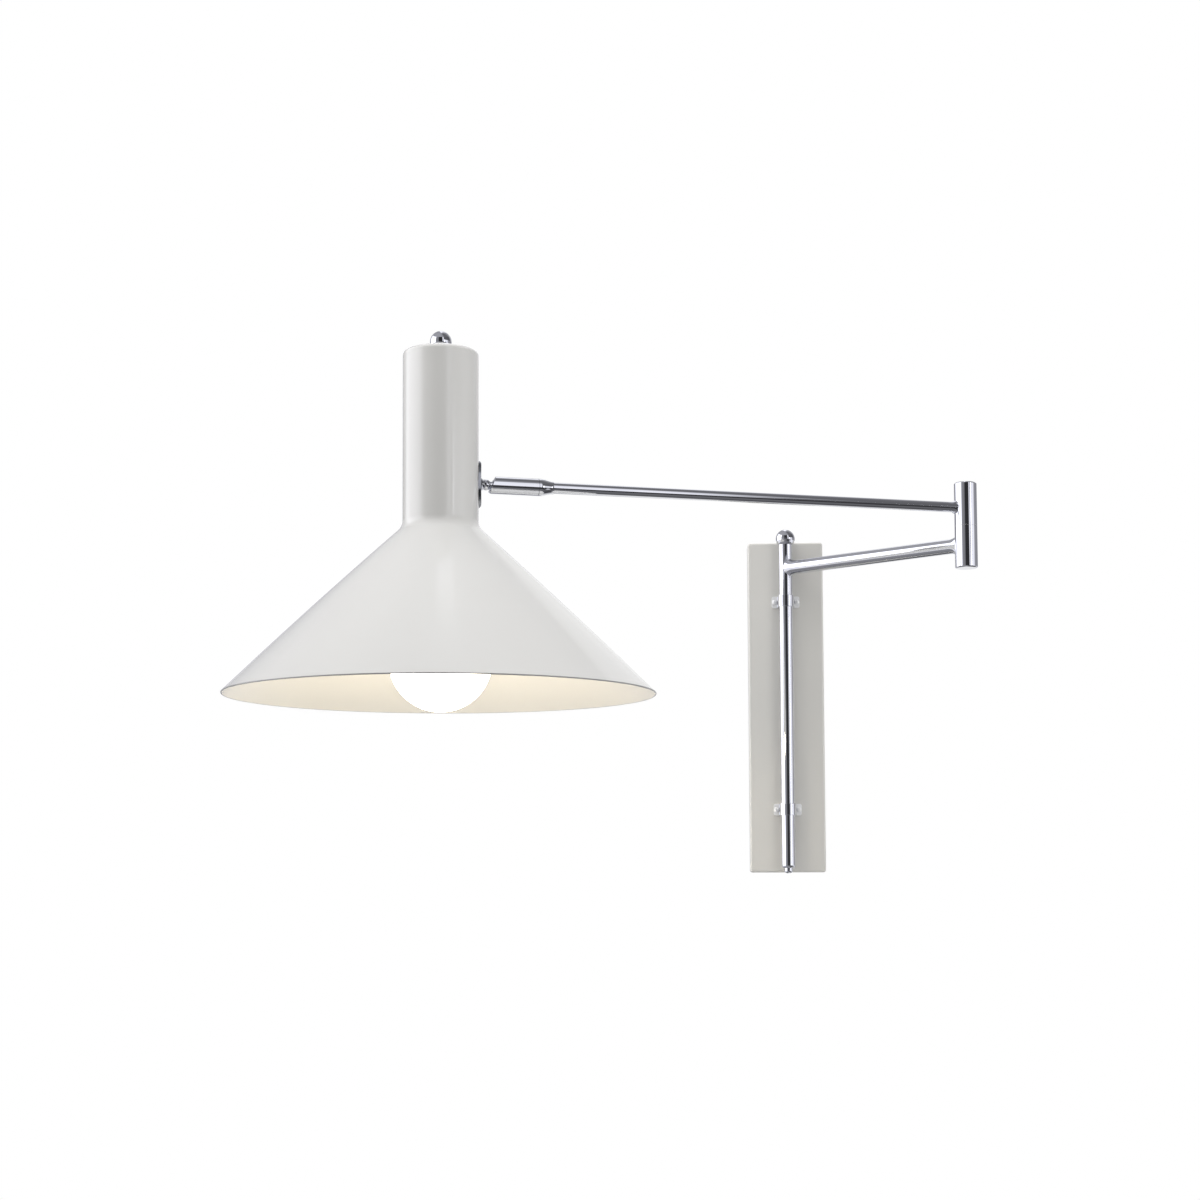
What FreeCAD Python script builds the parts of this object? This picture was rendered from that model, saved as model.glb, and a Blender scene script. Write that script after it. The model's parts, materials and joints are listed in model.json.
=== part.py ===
import FreeCAD, Part
import math
import os

# Articulating wall lamp: a tall painted wall plate carries a chrome pole in two saddle clips. A lower arm
# is brazed to the pole and ends in a split vertical elbow. A thinner upper arm leaves the elbow's upper
# half and ends in a swivel barrel, whose ball carries a large spun shade with a globe bulb.
#
# Millimetres, +Z up, +Y into the wall, +X to the right as one faces the wall.
# The origin is the middle of the wall plate's back, on the wall.

# --- wall plate ------------------------------------------------------------------------------------
plate_width = 68.0
plate_height = 300.0
plate_depth = 22.0
plate_wall = 1.2
plate_edge_radius = 1.8
plate_corner_radius = 2.5

# --- mounting bar behind the plate -----------------------------------------------------------------
bar_width = 36.0
bar_thickness = 2.0
bar_end_gap = 0.2
bar_tab_depth = 13.0
bar_bend_radius = 2.6
wall_screw_spacing = 200.0
wall_slot_width = 4.6
wall_slot_length = 12.0
cable_entry_diameter = 14.0
cable_entry_height = 34.0
cover_screw_diameter = 4.0
cover_screw_head_diameter = 6.6
cover_screw_length = 7.0
screw_slot_width = 0.8
screw_slot_depth = 0.6

# --- wiring hardware inside the plate ----------------------------------------------------------------
terminal_ways = 3
terminal_pitch = 9.5
terminal_length = 19.0
terminal_tower_width = 7.2
terminal_tower_height = 12.0
terminal_base_height = 4.0
terminal_tower_inset = 1.5
terminal_bore_diameter = 3.6
terminal_screw_diameter = 3.0
terminal_screw_sink = 0.6
terminal_screw_end_gap = 1.4
terminal_height = -34.0
earth_screw_height = -62.0
earth_screw_diameter = 4.0
earth_nut_across = 7.0
earth_nut_height = 3.0
earth_tag_diameter = 9.0
earth_tag_thickness = 0.8
earth_screw_end = 1.5

# --- pole and its clips ------------------------------------------------------------------------------
pole_diameter = 12.7
pole_wall = 1.2
pole_top_inset = 3.3
pole_foot_inset = 6.0
pole_gap = 2.15
running_clearance = 0.05
seat_clearance = 0.02
hole_clearance = 0.1
upper_clip_inset = 54.8
lower_clip_inset = 56.6
clip_height = 10.5
clip_thickness = 1.0
clip_width = 25.2
clip_ear_radius = 3.4
clip_screw_offset = 10.0
clip_screw_diameter = 3.0
clip_screw_head_diameter = 4.6
clip_screw_head_height = 1.5
clip_screw_length = 7.0
dome_fullness = 0.72
saddle_relief = 3.5
saddle_peg_diameter = 8.0
saddle_peg_length = 3.4
saddle_peg_root = 0.5
nut_plate_width = 28.0
nut_plate_thickness = 2.0
stop_pin_diameter = 2.6
stop_pin_reach = 0.9
stop_pin_floor = 1.0
stop_slot_height = 3.0
wire_slot_height = 6.0
wire_hole_diameter = 5.0
wire_slot_spare_angle = 30.0
wall_direction = 90.0
swing_out = 39.0
swing_back = 141.0
stop_spare_angle = 0.6

# --- finials and plug --------------------------------------------------------------------------------
finial_diameter = 17.2
finial_base_drop = 5.3
finial_spigot_length = 8.0
plug_drop = 6.8
plug_shoulder_drop = 2.0
plug_stub_diameter = 7.6
plug_stub_dome = 2.2
plug_spigot_length = 7.0

# --- lower arm and elbow -----------------------------------------------------------------------------
lower_arm_angle = -38.97
lower_arm_reach = 188.25
lower_arm_drop = 21.6
lower_arm_diameter = 12.7
lower_arm_wall = 1.2
root_flare_rise = 1.5
root_flare_length = 4.5
root_flare_share = 0.78
root_flare_sink = 0.5
elbow_diameter = 19.0
elbow_wall = 1.5
elbow_below_lower_arm = 20.4
elbow_above_upper_arm = 21.5
elbow_washer_thickness = 0.6
elbow_washer_set_back = 0.25
elbow_gap = 0.04
cap_thickness = 1.6
cap_chamfer = 0.9
cap_spigot_length = 4.0
pivot_diameter = 10.0
pivot_bore_diameter = 6.4
pivot_flange_diameter = 13.0
pivot_flange_thickness = 1.2
hub_length = 8.6
spring_washer_thickness = 0.9
spring_washer_diameter = 15.0
pivot_nut_across = 14.0
pivot_nut_height = 2.6
pivot_end = 0.4

# --- upper arm ---------------------------------------------------------------------------------------
upper_arm_angle = 197.62
upper_arm_step = 31.4
upper_arm_diameter = 8.8
upper_arm_wall = 1.0
shade_reach = 448.9
end_fitting_length = 12.3
end_fitting_lip = 0.5
end_fitting_socket = 8.0
end_fitting_bore_diameter = 5.2
end_fitting_land = 1.2

# --- swivel barrel -----------------------------------------------------------------------------------
ball_diameter = 11.4
ball_to_shade_axis = 46.0
barrel_diameter = 13.7
barrel_wall = 1.05
barrel_rear = 32.5
barrel_lip = 7.9
barrel_top_lip = 2.0
barrel_front_radius = 2.6
barrel_rear_chamfer = 0.3
barrel_seam = 0.1
tilt_out = 45.0
tilt_in = 8.0
spigot_diameter = 9.0
spigot_length = 12.6
bush_length = 8.4
clip_ring_thickness = 1.0
clip_ring_diameter = 11.0
clip_ring_groove = 0.5
clip_ring_gap = 4.8
seat_pad_front = -1.6
seat_pad_length = 7.2
disc_spring_count = 4
disc_spring_thickness = 0.5
disc_spring_pitch = 0.9
disc_spring_rise = 0.35
disc_spring_outer_gap = 0.25
disc_spring_inner_gap = 0.4
backing_ring_thickness = 2.4
wire_way_diameter = 5.0

# --- ball stud and escutcheon ------------------------------------------------------------------------
stud_neck_diameter = 5.8
stud_bead_diameter = 8.6
stud_bead_offset = 9.8
stud_collar_diameter = 11.2
stud_collar_small_diameter = 7.8
stud_shank_diameter = 8.0
stud_bore_diameter = 3.4
stud_back_flat = 5.0
stud_clearance = 0.35
escutcheon_height = 37.5
escutcheon_width = 21.0
escutcheon_thickness = 2.0
escutcheon_bevel = 1.0
saddle_washer_thickness = 2.4
saddle_washer_width = 16.0
stud_nut_across = 12.0
stud_nut_height = 3.4
stud_end_spare = 1.0

# --- shade -------------------------------------------------------------------------------------------
shade_wall = 1.2
neck_diameter = 59.8
neck_shoulder_radius = 3.5
neck_rise = 103.9
crown_rise = 2.0
neck_crown_land_diameter = 20.0
flare_drop = 30.4
flare_radius = 12.0
rim_diameter = 336.6
cone_half_angle = 46.5
cone_bulge_angle = 1.2

# --- bulb and lampholder -----------------------------------------------------------------------------
finial_washer_diameter = 15.0
finial_washer_thickness = 1.2
nipple_diameter = 10.0
nipple_bore_diameter = 7.0
nipple_top_above_crown = 7.0
lock_nut_across = 14.0
lock_nut_height = 4.0
lock_washer_diameter = 19.0
lock_washer_thickness = 1.4
bulb_drop = 140.3
bulb_diameter = 81.0
bulb_glass = 1.0
bulb_neck_diameter = 25.0
bulb_shoulder_radius = 22.0
bulb_cap_diameter = 26.4
bulb_cap_wall = 0.6
bulb_cap_length = 20.0
bulb_length = 121.0
bulb_contact_diameter = 9.6
bulb_contact_height = 1.6
bulb_insulator_height = 3.0
bulb_insulator_lip = 2.5
holder_diameter = 39.0
holder_mouth_diameter = 42.0
holder_wall = 2.0
holder_mouth_overlap = 3.0
holder_mouth_lip = 3.0
holder_grip_count = 18
holder_grip_diameter = 1.6
holder_grip_sink = 0.35
holder_grip_length = 20.0
holder_grip_gap = 3.0
holder_cap_height = 14.0
holder_cap_overlap = 3.0
holder_rod_entry = 8.0
holder_cap_collar_diameter = 15.0
holder_thread_wall = 0.5
holder_thread_clearance = 0.3
insert_thickness = 6.0
insert_hole_diameter = 3.2
insert_hole_spacing = 21.6
contact_width = 6.0
contact_thickness = 0.7
contact_rise = 5.0
contact_reach = 9.0
contact_foot = 4.5
contact_bend = 3.15
contact_tip = 3.6

# --- for cutting tools, which end a little beyond what they cut ---------------------------------------
overshoot = 1.0
nut_corner_share = 0.97

# --- worked out from the sizes above -----------------------------------------------------------------
ORIGIN = FreeCAD.Vector(0, 0, 0)
X_AXIS = FreeCAD.Vector(1, 0, 0)
Y_AXIS = FreeCAD.Vector(0, 1, 0)
Z_AXIS = FreeCAD.Vector(0, 0, 1)

pole_top = plate_height / 2 - pole_top_inset
pole_bottom = pole_foot_inset - plate_height / 2
clip_heights = (plate_height / 2 - upper_clip_inset, lower_clip_inset - plate_height / 2)
lower_arm_height = pole_top - lower_arm_drop
upper_arm_height = lower_arm_height + upper_arm_step
elbow_bottom = lower_arm_height - elbow_below_lower_arm
elbow_top = upper_arm_height + elbow_above_upper_arm
neck_shoulder_height = upper_arm_height + neck_rise
neck_crown_height = neck_shoulder_height + crown_rise
flare_height = upper_arm_height - flare_drop
bulb_centre_height = upper_arm_height - bulb_drop
pole_radius = pole_diameter / 2
pole_bore = pole_radius - pole_wall
plate_front = -plate_depth
pole_y = plate_front - pole_gap - pole_radius
bearing_radius = pole_radius + running_clearance
elbow_radius = elbow_diameter / 2
elbow_bore = elbow_radius - elbow_wall
elbow_split = (lower_arm_height + upper_arm_height) / 2
lower_sleeve_top = elbow_split - elbow_washer_thickness / 2 - elbow_gap / 2
upper_sleeve_bottom = elbow_split + elbow_washer_thickness / 2 + elbow_gap / 2
ball_radius = ball_diameter / 2
seat_radius = ball_radius + running_clearance
barrel_radius = barrel_diameter / 2
barrel_bore = barrel_radius - barrel_wall
ball_distance = shade_reach - ball_to_shade_axis
neck_radius = neck_diameter / 2
neck_bore = neck_radius - shade_wall
cone_top_angle = math.radians(cone_half_angle + cone_bulge_angle)
cone_rim_angle = math.radians(cone_half_angle - cone_bulge_angle)
cone_top_radius = neck_radius + flare_radius * (1 - math.cos(cone_top_angle))
cone_top_height = flare_height - flare_radius * math.sin(cone_top_angle)
cone_fall = (rim_diameter / 2 - cone_top_radius) / math.tan(math.radians(cone_half_angle))
rim_height = cone_top_height - cone_fall
bulb_tip = bulb_centre_height - bulb_diameter / 2 + bulb_length
insert_low = bulb_tip + contact_rise
insert_top = insert_low + insert_thickness
holder_top = insert_top + holder_cap_height
holder_split = insert_low + holder_cap_overlap
bulb_glass_end = bulb_tip - bulb_contact_height - bulb_cap_length


# --- helpers -----------------------------------------------------------------------------------------
def outline_edges(start, steps, to_vector):
    """Edges of a closed outline. A step is a point, or a pair: the middle and the end of an arc."""
    edges = []
    here = to_vector(start)
    first = here
    for step in steps:
        if isinstance(step[0], tuple):
            end = to_vector(step[1])
            edges.append(Part.Arc(here, to_vector(step[0]), end).toShape())
        else:
            end = to_vector(step)
            edges.append(Part.LineSegment(here, end).toShape())
        here = end
    edges.append(Part.LineSegment(here, first).toShape())
    return edges


def outward(solid):
    """The same solid with its faces turned to the outside."""
    if solid.Volume < 0:
        solid.reverse()
    return solid


def turned(start, *steps):
    """A solid turned about the Z axis from a closed outline of (radius, height) points."""
    edges = outline_edges(start, steps, lambda p: FreeCAD.Vector(p[0], 0, p[1]))
    return outward(Part.Face(Part.Wire(edges)).revolve(ORIGIN, Z_AXIS, 360))


def flat_prism(start, steps, low, high):
    """A prism that stands along Z from a closed outline of (x, y) points."""
    edges = outline_edges(start, steps, lambda p: FreeCAD.Vector(p[0], p[1], low))
    return outward(Part.Face(Part.Wire(edges)).extrude(FreeCAD.Vector(0, 0, high - low)))


def rod(radius, low, high):
    return Part.makeCylinder(radius, high - low, FreeCAD.Vector(0, 0, low))


def ring(outer, inner, low, high):
    return rod(outer, low, high).cut(rod(inner, low - overshoot, high + overshoot))


def hex_ring(across, inner, low, high):
    """A hexagonal nut with lightly turned corners."""
    corner = across / math.sqrt(3)
    first = FreeCAD.Vector(corner, 0, low)
    turn = FreeCAD.Rotation(Z_AXIS, 60)
    points = [first]
    for _ in range(6):
        points.append(turn.multVec(points[-1]))
    points[-1] = first
    body = Part.Face(Part.makePolygon(points)).extrude(FreeCAD.Vector(0, 0, high - low))
    body = body.common(rod(corner * nut_corner_share, low, high))
    return body.cut(rod(inner, low - overshoot, high + overshoot))


def box(low, high):
    size = [b - a for a, b in zip(low, high)]
    return Part.makeBox(size[0], size[1], size[2], FreeCAD.Vector(*low))


def bore(radius, start, direction, length):
    return Part.makeCylinder(radius, length, FreeCAD.Vector(*start), FreeCAD.Vector(*direction))


def hole(radius, start, direction, wall):
    """The cutter of a round hole through a wall whose near face is at start."""
    along = FreeCAD.Vector(*direction)
    begin = FreeCAD.Vector(*start) - along * overshoot
    return Part.makeCylinder(radius, wall + 2 * overshoot, begin, along)


def along_x(solid, start=0.0):
    """Lay a solid built along Z down along X, with its height zero at x = start."""
    return solid.rotated(ORIGIN, Y_AXIS, 90).translated(FreeCAD.Vector(start, 0, 0))


def sector(radius, low, high, first_angle, last_angle):
    """A slice of a cylinder about Z between two angles in degrees, counted from +X."""
    base = FreeCAD.Vector(0, 0, low)
    slice_ = Part.makeCylinder(radius, high - low, base, Z_AXIS, last_angle - first_angle)
    return slice_.rotated(ORIGIN, Z_AXIS, first_angle)


def at_pole(solid):
    return solid.translated(FreeCAD.Vector(0, pole_y, 0))


def on_lower_arm(solid):
    """Place a solid whose X axis is the lower arm's direction, with the pole's axis at x = 0."""
    return at_pole(solid.rotated(ORIGIN, Z_AXIS, lower_arm_angle))


def elbow_place():
    angle = math.radians(lower_arm_angle)
    return FreeCAD.Vector(lower_arm_reach * math.cos(angle), pole_y + lower_arm_reach * math.sin(angle), 0)


def at_elbow(solid):
    return solid.translated(elbow_place())


def on_upper_arm(solid):
    """Place a solid whose X axis is the upper arm's direction, with the elbow's axis at x = 0."""
    return at_elbow(solid.rotated(ORIGIN, Z_AXIS, upper_arm_angle))


def at_shade(solid):
    """Place a solid whose Z axis is the shade's axis; its -X side faces the swivel barrel."""
    return on_upper_arm(solid.translated(FreeCAD.Vector(shade_reach, 0, 0)))


def on_barrel(solid):
    """Place a solid built along Z, from the ball's centre at height 0 towards the shade at +Z."""
    return on_upper_arm(along_x(solid, ball_distance).translated(FreeCAD.Vector(0, 0, upper_arm_height)))


def joined(solids):
    """One node that holds several separate solids."""
    return Part.makeCompound(solids)


# --- wall plate and what is behind it ----------------------------------------------------------------
def bar_end():
    return plate_height / 2 - plate_wall - bar_end_gap


def cover_plate():
    """Painted sheet-metal cover: a shallow tray with rounded front edges, open to the wall."""
    half_w = plate_width / 2
    half_h = plate_height / 2
    body = box((-half_w, plate_front, -half_h), (half_w, 0, half_h))
    corners = [e for e in body.Edges if abs(e.Vertexes[0].Y - e.Vertexes[1].Y) > plate_depth / 2]
    body = body.makeFillet(plate_corner_radius, corners)
    front = [e for e in body.Edges if all(abs(v.Y - plate_front) < 1e-6 for v in e.Vertexes)]
    body = body.makeFillet(plate_edge_radius, front)
    inner_w = half_w - plate_wall
    inner_h = half_h - plate_wall
    inside = box((-inner_w, plate_front + plate_wall, -inner_h), (inner_w, overshoot, inner_h))
    corners = [e for e in inside.Edges if abs(e.Vertexes[0].Y - e.Vertexes[1].Y) > plate_depth / 2]
    inside = inside.makeFillet(plate_corner_radius - plate_wall, corners)
    body = body.cut(inside).cut(clip_holes(plate_front, plate_wall, hole_clearance))
    for side in (-1, 1):
        start = (0, cover_screw_y(), side * half_h)
        body = body.cut(hole(cover_screw_diameter / 2 + hole_clearance, start, (0, 0, -side), plate_wall))
        body = body.cut(cover_screw_solid(side, seat_clearance))
    return body


def clip_holes(front, wall, screw_clearance):
    """Cutters for the clips' screws and the saddles' pegs through a wall whose front face is at y = front."""
    cutters = []
    for height in clip_heights:
        cutters.append(hole(saddle_peg_diameter / 2 + hole_clearance, (0, front, height), (0, 1, 0), wall))
        for side in (-1, 1):
            start = (side * clip_screw_offset, front, height)
            cutters.append(hole(clip_screw_diameter / 2 + screw_clearance, start, (0, 1, 0), wall))
    return joined(cutters)


def cover_screw_y():
    return -bar_thickness - bar_tab_depth / 2


def cover_screw_solid(side, spare=0.0):
    """One countersunk screw in the plate's top (side 1) or bottom (side -1) face, without its slot."""
    head = cover_screw_head_diameter / 2 + spare
    shank = cover_screw_diameter / 2 + spare
    top = plate_height / 2
    cone = head - shank
    screw = turned((0, top), (head, top), (shank, top - cone), (shank, top - cover_screw_length),
                   (0, top - cover_screw_length))
    if side < 0:
        screw = screw.rotated(ORIGIN, X_AXIS, 180)
    return screw.translated(FreeCAD.Vector(0, cover_screw_y(), 0))


def cover_screws():
    """The two flush screws that hold the cover to the bar's bent ends."""
    screws = []
    top = plate_height / 2
    wide = cover_screw_head_diameter
    back = cover_screw_y() - screw_slot_width / 2
    for side in (-1, 1):
        slot = box((-wide, back, top - screw_slot_depth), (wide, back + screw_slot_width, top + overshoot))
        if side < 0:
            slot = slot.mirror(ORIGIN, Z_AXIS)
        screws.append(cover_screw_solid(side).cut(slot))
    return joined(screws)


def mounting_bar():
    """Steel strip screwed to the wall, with both ends bent forward to carry the cover."""
    end = bar_end()
    inner = end - bar_thickness
    bend = bar_bend_radius
    small = bend - bar_thickness
    turn = bend * (1 - math.cos(math.radians(45)))
    small_turn = small * (1 - math.cos(math.radians(45)))
    front = -bar_thickness
    tip = front - bar_tab_depth
    # (y, z) outline of the strip seen from its side, mirrored below
    upper = [((-turn, end - turn), (-bend, end)), (tip, end), (tip, inner), (front - small, inner),
             ((front - small_turn, inner - small_turn), (front, inner - small))]
    lower = [(front, -inner + small), ((front - small_turn, -inner + small_turn), (front - small, -inner)),
             (tip, -inner), (tip, -end), (-bend, -end), ((-turn, -end + turn), (0, -end + bend))]
    edges = outline_edges((0, end - bend), upper + lower,
                          lambda p: FreeCAD.Vector(-bar_width / 2, p[0], p[1]))
    strip = outward(Part.Face(Part.Wire(edges)).extrude(FreeCAD.Vector(bar_width, 0, 0)))
    for side in (-1, 1):
        strip = strip.cut(wall_slot(side * wall_screw_spacing / 2))
        start = (0, cover_screw_y(), side * end)
        screw_radius = cover_screw_diameter / 2 + seat_clearance
        strip = strip.cut(hole(screw_radius, start, (0, 0, -side), bar_thickness))
    cable_entry = hole(cable_entry_diameter / 2, (0, front, cable_entry_height), (0, 1, 0), bar_thickness)
    earth_radius = earth_screw_diameter / 2 + seat_clearance
    earth_hole = hole(earth_radius, (0, front, earth_screw_height), (0, 1, 0), bar_thickness)
    return strip.cut(cable_entry).cut(earth_hole)


def wall_slot(height):
    """The cutter of one upright slot for a wall screw."""
    radius = wall_slot_width / 2
    run = wall_slot_length / 2 - radius
    slot = box((-radius, -bar_thickness - overshoot, height - run), (radius, overshoot, height + run))
    for end in (-run, run):
        slot = slot.fuse(hole(radius, (0, -bar_thickness, height + end), (0, 1, 0), bar_thickness))
    return slot


def terminal_block():
    """Three-way connector block on the mounting bar: a tower over each way on a common base."""
    total = terminal_pitch * terminal_ways
    back = -bar_thickness
    half = terminal_length / 2
    low = terminal_height - half
    high = terminal_height + half
    block = box((-total / 2, back - terminal_base_height, low), (total / 2, back, high))
    front = back - terminal_tower_height
    across = terminal_tower_width / 2
    for centre in terminal_places():
        tower = box((centre - across, front, low + terminal_tower_inset),
                    (centre + across, back, high - terminal_tower_inset))
        block = block.fuse(tower)
    block = block.removeSplitter()
    wire_y = back - terminal_tower_height / 2
    screw_radius = terminal_screw_diameter / 2 + seat_clearance
    for centre in terminal_places():
        block = block.cut(hole(terminal_bore_diameter / 2, (centre, wire_y, low), (0, 0, 1), terminal_length))
        for side in (-1, 1):
            start = (centre, front - overshoot, terminal_height + side * half / 2)
            block = block.cut(bore(screw_radius, start, (0, 1, 0), wire_y - front + overshoot))
    return block


def terminal_places():
    return [terminal_pitch * (k - (terminal_ways - 1) / 2) for k in range(terminal_ways)]


def terminal_screws():
    """The clamping screws of the connector block, sunk a little below its towers."""
    screws = []
    front = terminal_screw_sink - bar_thickness - terminal_tower_height
    length = terminal_tower_height / 2 - terminal_screw_sink - terminal_screw_end_gap
    tall = terminal_screw_diameter
    half = screw_slot_width / 2
    for centre in terminal_places():
        for side in (-1, 1):
            height = terminal_height + side * terminal_length / 4
            screw = bore(terminal_screw_diameter / 2, (centre, front, height), (0, 1, 0), length)
            slot = box((centre - half, front - overshoot, height - tall),
                       (centre + half, front + screw_slot_depth, height + tall))
            screws.append(screw.cut(slot))
    return joined(screws)


def earth_terminal():
    """Earth screw in the mounting bar with its ring tag and nut, as one tightened piece."""
    radius = earth_screw_diameter / 2
    nut_low = bar_thickness + earth_tag_thickness
    nut_high = nut_low + earth_nut_height
    screw = rod(radius, 0, nut_high + earth_screw_end)
    tag = ring(earth_tag_diameter / 2, radius, bar_thickness, nut_low)
    nut = hex_ring(earth_nut_across, radius, nut_low, nut_high)
    whole = screw.fuse(tag).fuse(nut).removeSplitter()
    return whole.rotated(ORIGIN, X_AXIS, 90).translated(FreeCAD.Vector(0, 0, earth_screw_height))


# --- clips -------------------------------------------------------------------------------------------
def clip_strap(height):
    """Pressed strap over the pole: a half round, two legs back to the plate and two ears."""
    inner = bearing_radius
    outer = bearing_radius + clip_thickness
    half = clip_width / 2
    back = plate_front
    ear = back - clip_thickness
    low = height - clip_height / 2
    high = height + clip_height / 2
    over = [(half, ear), (outer, ear), (outer, pole_y), ((0, pole_y - outer), (-outer, pole_y)),
            (-outer, ear), (-half, ear), (-half, back)]
    under = [(-inner, back), (-inner, pole_y), ((0, pole_y - inner), (inner, pole_y)), (inner, back)]
    strap = flat_prism((half, back), over + under, low, high)
    strap = strap.common(clip_ear_blank(height, half))
    for side in (-1, 1):
        start = (side * clip_screw_offset, ear, height)
        strap = strap.cut(hole(clip_screw_diameter / 2 + hole_clearance, start, (0, 1, 0), clip_thickness))
    return strap


def clip_ear_blank(height, half):
    """A block with the ears' rounded outline, as wide as the strap, for trimming its corners."""
    low = height - clip_height / 2
    high = height + clip_height / 2
    depth = pole_gap + pole_diameter + clip_thickness + overshoot
    block = box((-half, plate_front - depth, low), (half, plate_front, high))
    corners = [e for e in block.Edges if abs(e.Vertexes[0].Y - e.Vertexes[1].Y) > depth / 2]
    return block.makeFillet(clip_ear_radius, corners)


def clip_saddle(height, bored):
    """Bearing block between the strap's legs, with a peg through the plate."""
    width = bearing_radius - 2 * seat_clearance
    front = pole_y + saddle_relief
    low = height - clip_height / 2
    high = height + clip_height / 2
    block = box((-width, front, low), (width, plate_front - seat_clearance, high))
    root = (0, plate_front - saddle_peg_root, height)
    peg = bore(saddle_peg_diameter / 2, root, (0, 1, 0), saddle_peg_length + saddle_peg_root)
    block = block.fuse(peg).removeSplitter()
    block = block.cut(at_pole(rod(bearing_radius, low - overshoot, high + overshoot)))
    centre = (0, pole_y, height)
    if bored:
        reach = pole_radius + pole_gap + saddle_peg_length + overshoot
        return block.cut(bore(wire_hole_diameter / 2, centre, (0, 1, 0), reach))
    reach = pole_radius + stop_pin_depth()
    return block.cut(bore(stop_pin_diameter / 2 + seat_clearance, centre, (0, 1, 0), reach))


def stop_pin_depth():
    """How far the stop pin reaches behind the pole's back into the saddle."""
    return pole_gap + saddle_peg_length - stop_pin_floor


def stop_pin():
    """Steel pin in the upper saddle. It rides in the pole's slot, carries it and stops its swing."""
    start = (0, pole_y + pole_radius - stop_pin_reach, clip_heights[0])
    return bore(stop_pin_diameter / 2, start, (0, 1, 0), stop_pin_reach + stop_pin_depth() - seat_clearance)


def clip_screws():
    """Four round-headed screws through the clips' ears."""
    head = clip_screw_head_diameter / 2
    shank = clip_screw_diameter / 2
    tall = clip_screw_head_height
    end = -clip_screw_length
    half = screw_slot_width / 2
    crown = (head * dome_fullness, tall * dome_fullness)
    screw = turned((0, tall), (crown, (head, 0)), (shank, 0), (shank, end), (0, end))
    slot = box((-half, -head, tall - screw_slot_depth), (half, head, tall + overshoot))
    screw = screw.cut(slot).rotated(ORIGIN, X_AXIS, 90)
    seat = plate_front - clip_thickness - seat_clearance
    screws = []
    for height in clip_heights:
        for side in (-1, 1):
            screws.append(screw.translated(FreeCAD.Vector(side * clip_screw_offset, seat, height)))
    return joined(screws)


def clip_nut_plates():
    """Tapped steel strips inside the cover that take the clips' screws."""
    plates = []
    front = plate_front + plate_wall + seat_clearance
    back = front + nut_plate_thickness
    half = nut_plate_width / 2
    tall = clip_height / 2
    cutters = clip_holes(front, nut_plate_thickness, seat_clearance)
    for height in clip_heights:
        plate = box((-half, front, height - tall), (half, back, height + tall))
        plates.append(plate.cut(cutters))
    return joined(plates)


# --- pole --------------------------------------------------------------------------------------------
def pole_tube():
    """Chrome tube that turns in the clips. Both its slots are covered by the clips' straps."""
    tube = ring(pole_radius, pole_bore, pole_bottom, pole_top)
    spare = math.degrees(math.asin(stop_pin_diameter / 2 / (pole_radius - stop_pin_reach))) + stop_spare_angle
    first = wall_direction - swing_out
    last = wall_direction + swing_back
    stop = clip_heights[0]
    half = stop_slot_height / 2
    tube = tube.cut(sector(pole_diameter, stop - half, stop + half, first - spare, last + spare))
    wires = clip_heights[1]
    half = wire_slot_height / 2
    spare = wire_slot_spare_angle
    tube = tube.cut(sector(pole_diameter, wires - half, wires + half, first - spare, last + spare))
    way = wire_way(lower_arm_diameter / 2 - lower_arm_wall, lower_arm_height, lower_arm_angle)
    return at_pole(tube.cut(way))


def wire_way(radius, height, angle):
    """The cutter of the hole that lets wires pass from an arm into the tube that it meets at the origin."""
    way = along_x(rod(radius, 0, elbow_diameter)).translated(FreeCAD.Vector(0, 0, height))
    return way.rotated(ORIGIN, Z_AXIS, angle)


def finial(base, spigot_radius, hole_radius=0.0, hole_depth=0.0):
    """Ball knob cut flat below, with a spigot into the tube or a blind hole for a threaded rod."""
    radius = finial_diameter / 2
    base_radius = math.sqrt(radius ** 2 - finial_base_drop ** 2)
    top = finial_base_drop + radius
    if spigot_radius > 0:
        knob = turned((0, top), ((radius, finial_base_drop), (base_radius, 0)), (spigot_radius, 0),
                      (spigot_radius, -finial_spigot_length), (0, -finial_spigot_length))
    else:
        knob = turned((0, top), ((radius, finial_base_drop), (base_radius, 0)), (hole_radius, 0),
                      (hole_radius, hole_depth), (0, hole_depth))
    return knob.translated(FreeCAD.Vector(0, 0, base))


def pole_finial():
    return at_pole(finial(pole_top, pole_bore - seat_clearance))


def pole_end_plug():
    """Plug pressed into the pole's lower end: a rounded shoulder, then a short domed stub."""
    stub = plug_stub_diameter / 2
    foot = pole_bottom - plug_drop
    dome_top = foot + plug_stub_dome
    dome_middle = (stub * dome_fullness, dome_top - plug_stub_dome * dome_fullness)
    shoulder = pole_bottom - plug_shoulder_drop
    spread = pole_radius - stub
    shoulder_middle = (stub + spread * dome_fullness, pole_bottom - plug_shoulder_drop * dome_fullness)
    spigot = pole_bore - seat_clearance
    top = pole_bottom + plug_spigot_length
    plug = turned((0, foot), (dome_middle, (stub, dome_top)), (stub, shoulder),
                  (shoulder_middle, (pole_radius, pole_bottom)), (spigot, pole_bottom), (spigot, top),
                  (0, top))
    return at_pole(plug)


# --- lower arm and elbow -----------------------------------------------------------------------------
def root_flare(radius, start):
    """Brazed fillet above and below an arm's root, widest at x = start."""
    rise = root_flare_rise
    length = root_flare_length
    inner = radius - root_flare_sink
    outer = radius + rise
    hollow = (radius + rise / 4, length / 3)
    flare = turned((inner, -radius), (outer, -radius), (outer, 0), (hollow, (radius, length)),
                   (inner, length))
    flare = along_x(flare, start)
    half = radius * root_flare_share
    reach = start + length + radius
    return flare.common(box((start - reach, -half, -reach), (start + reach, half, reach)))


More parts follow.
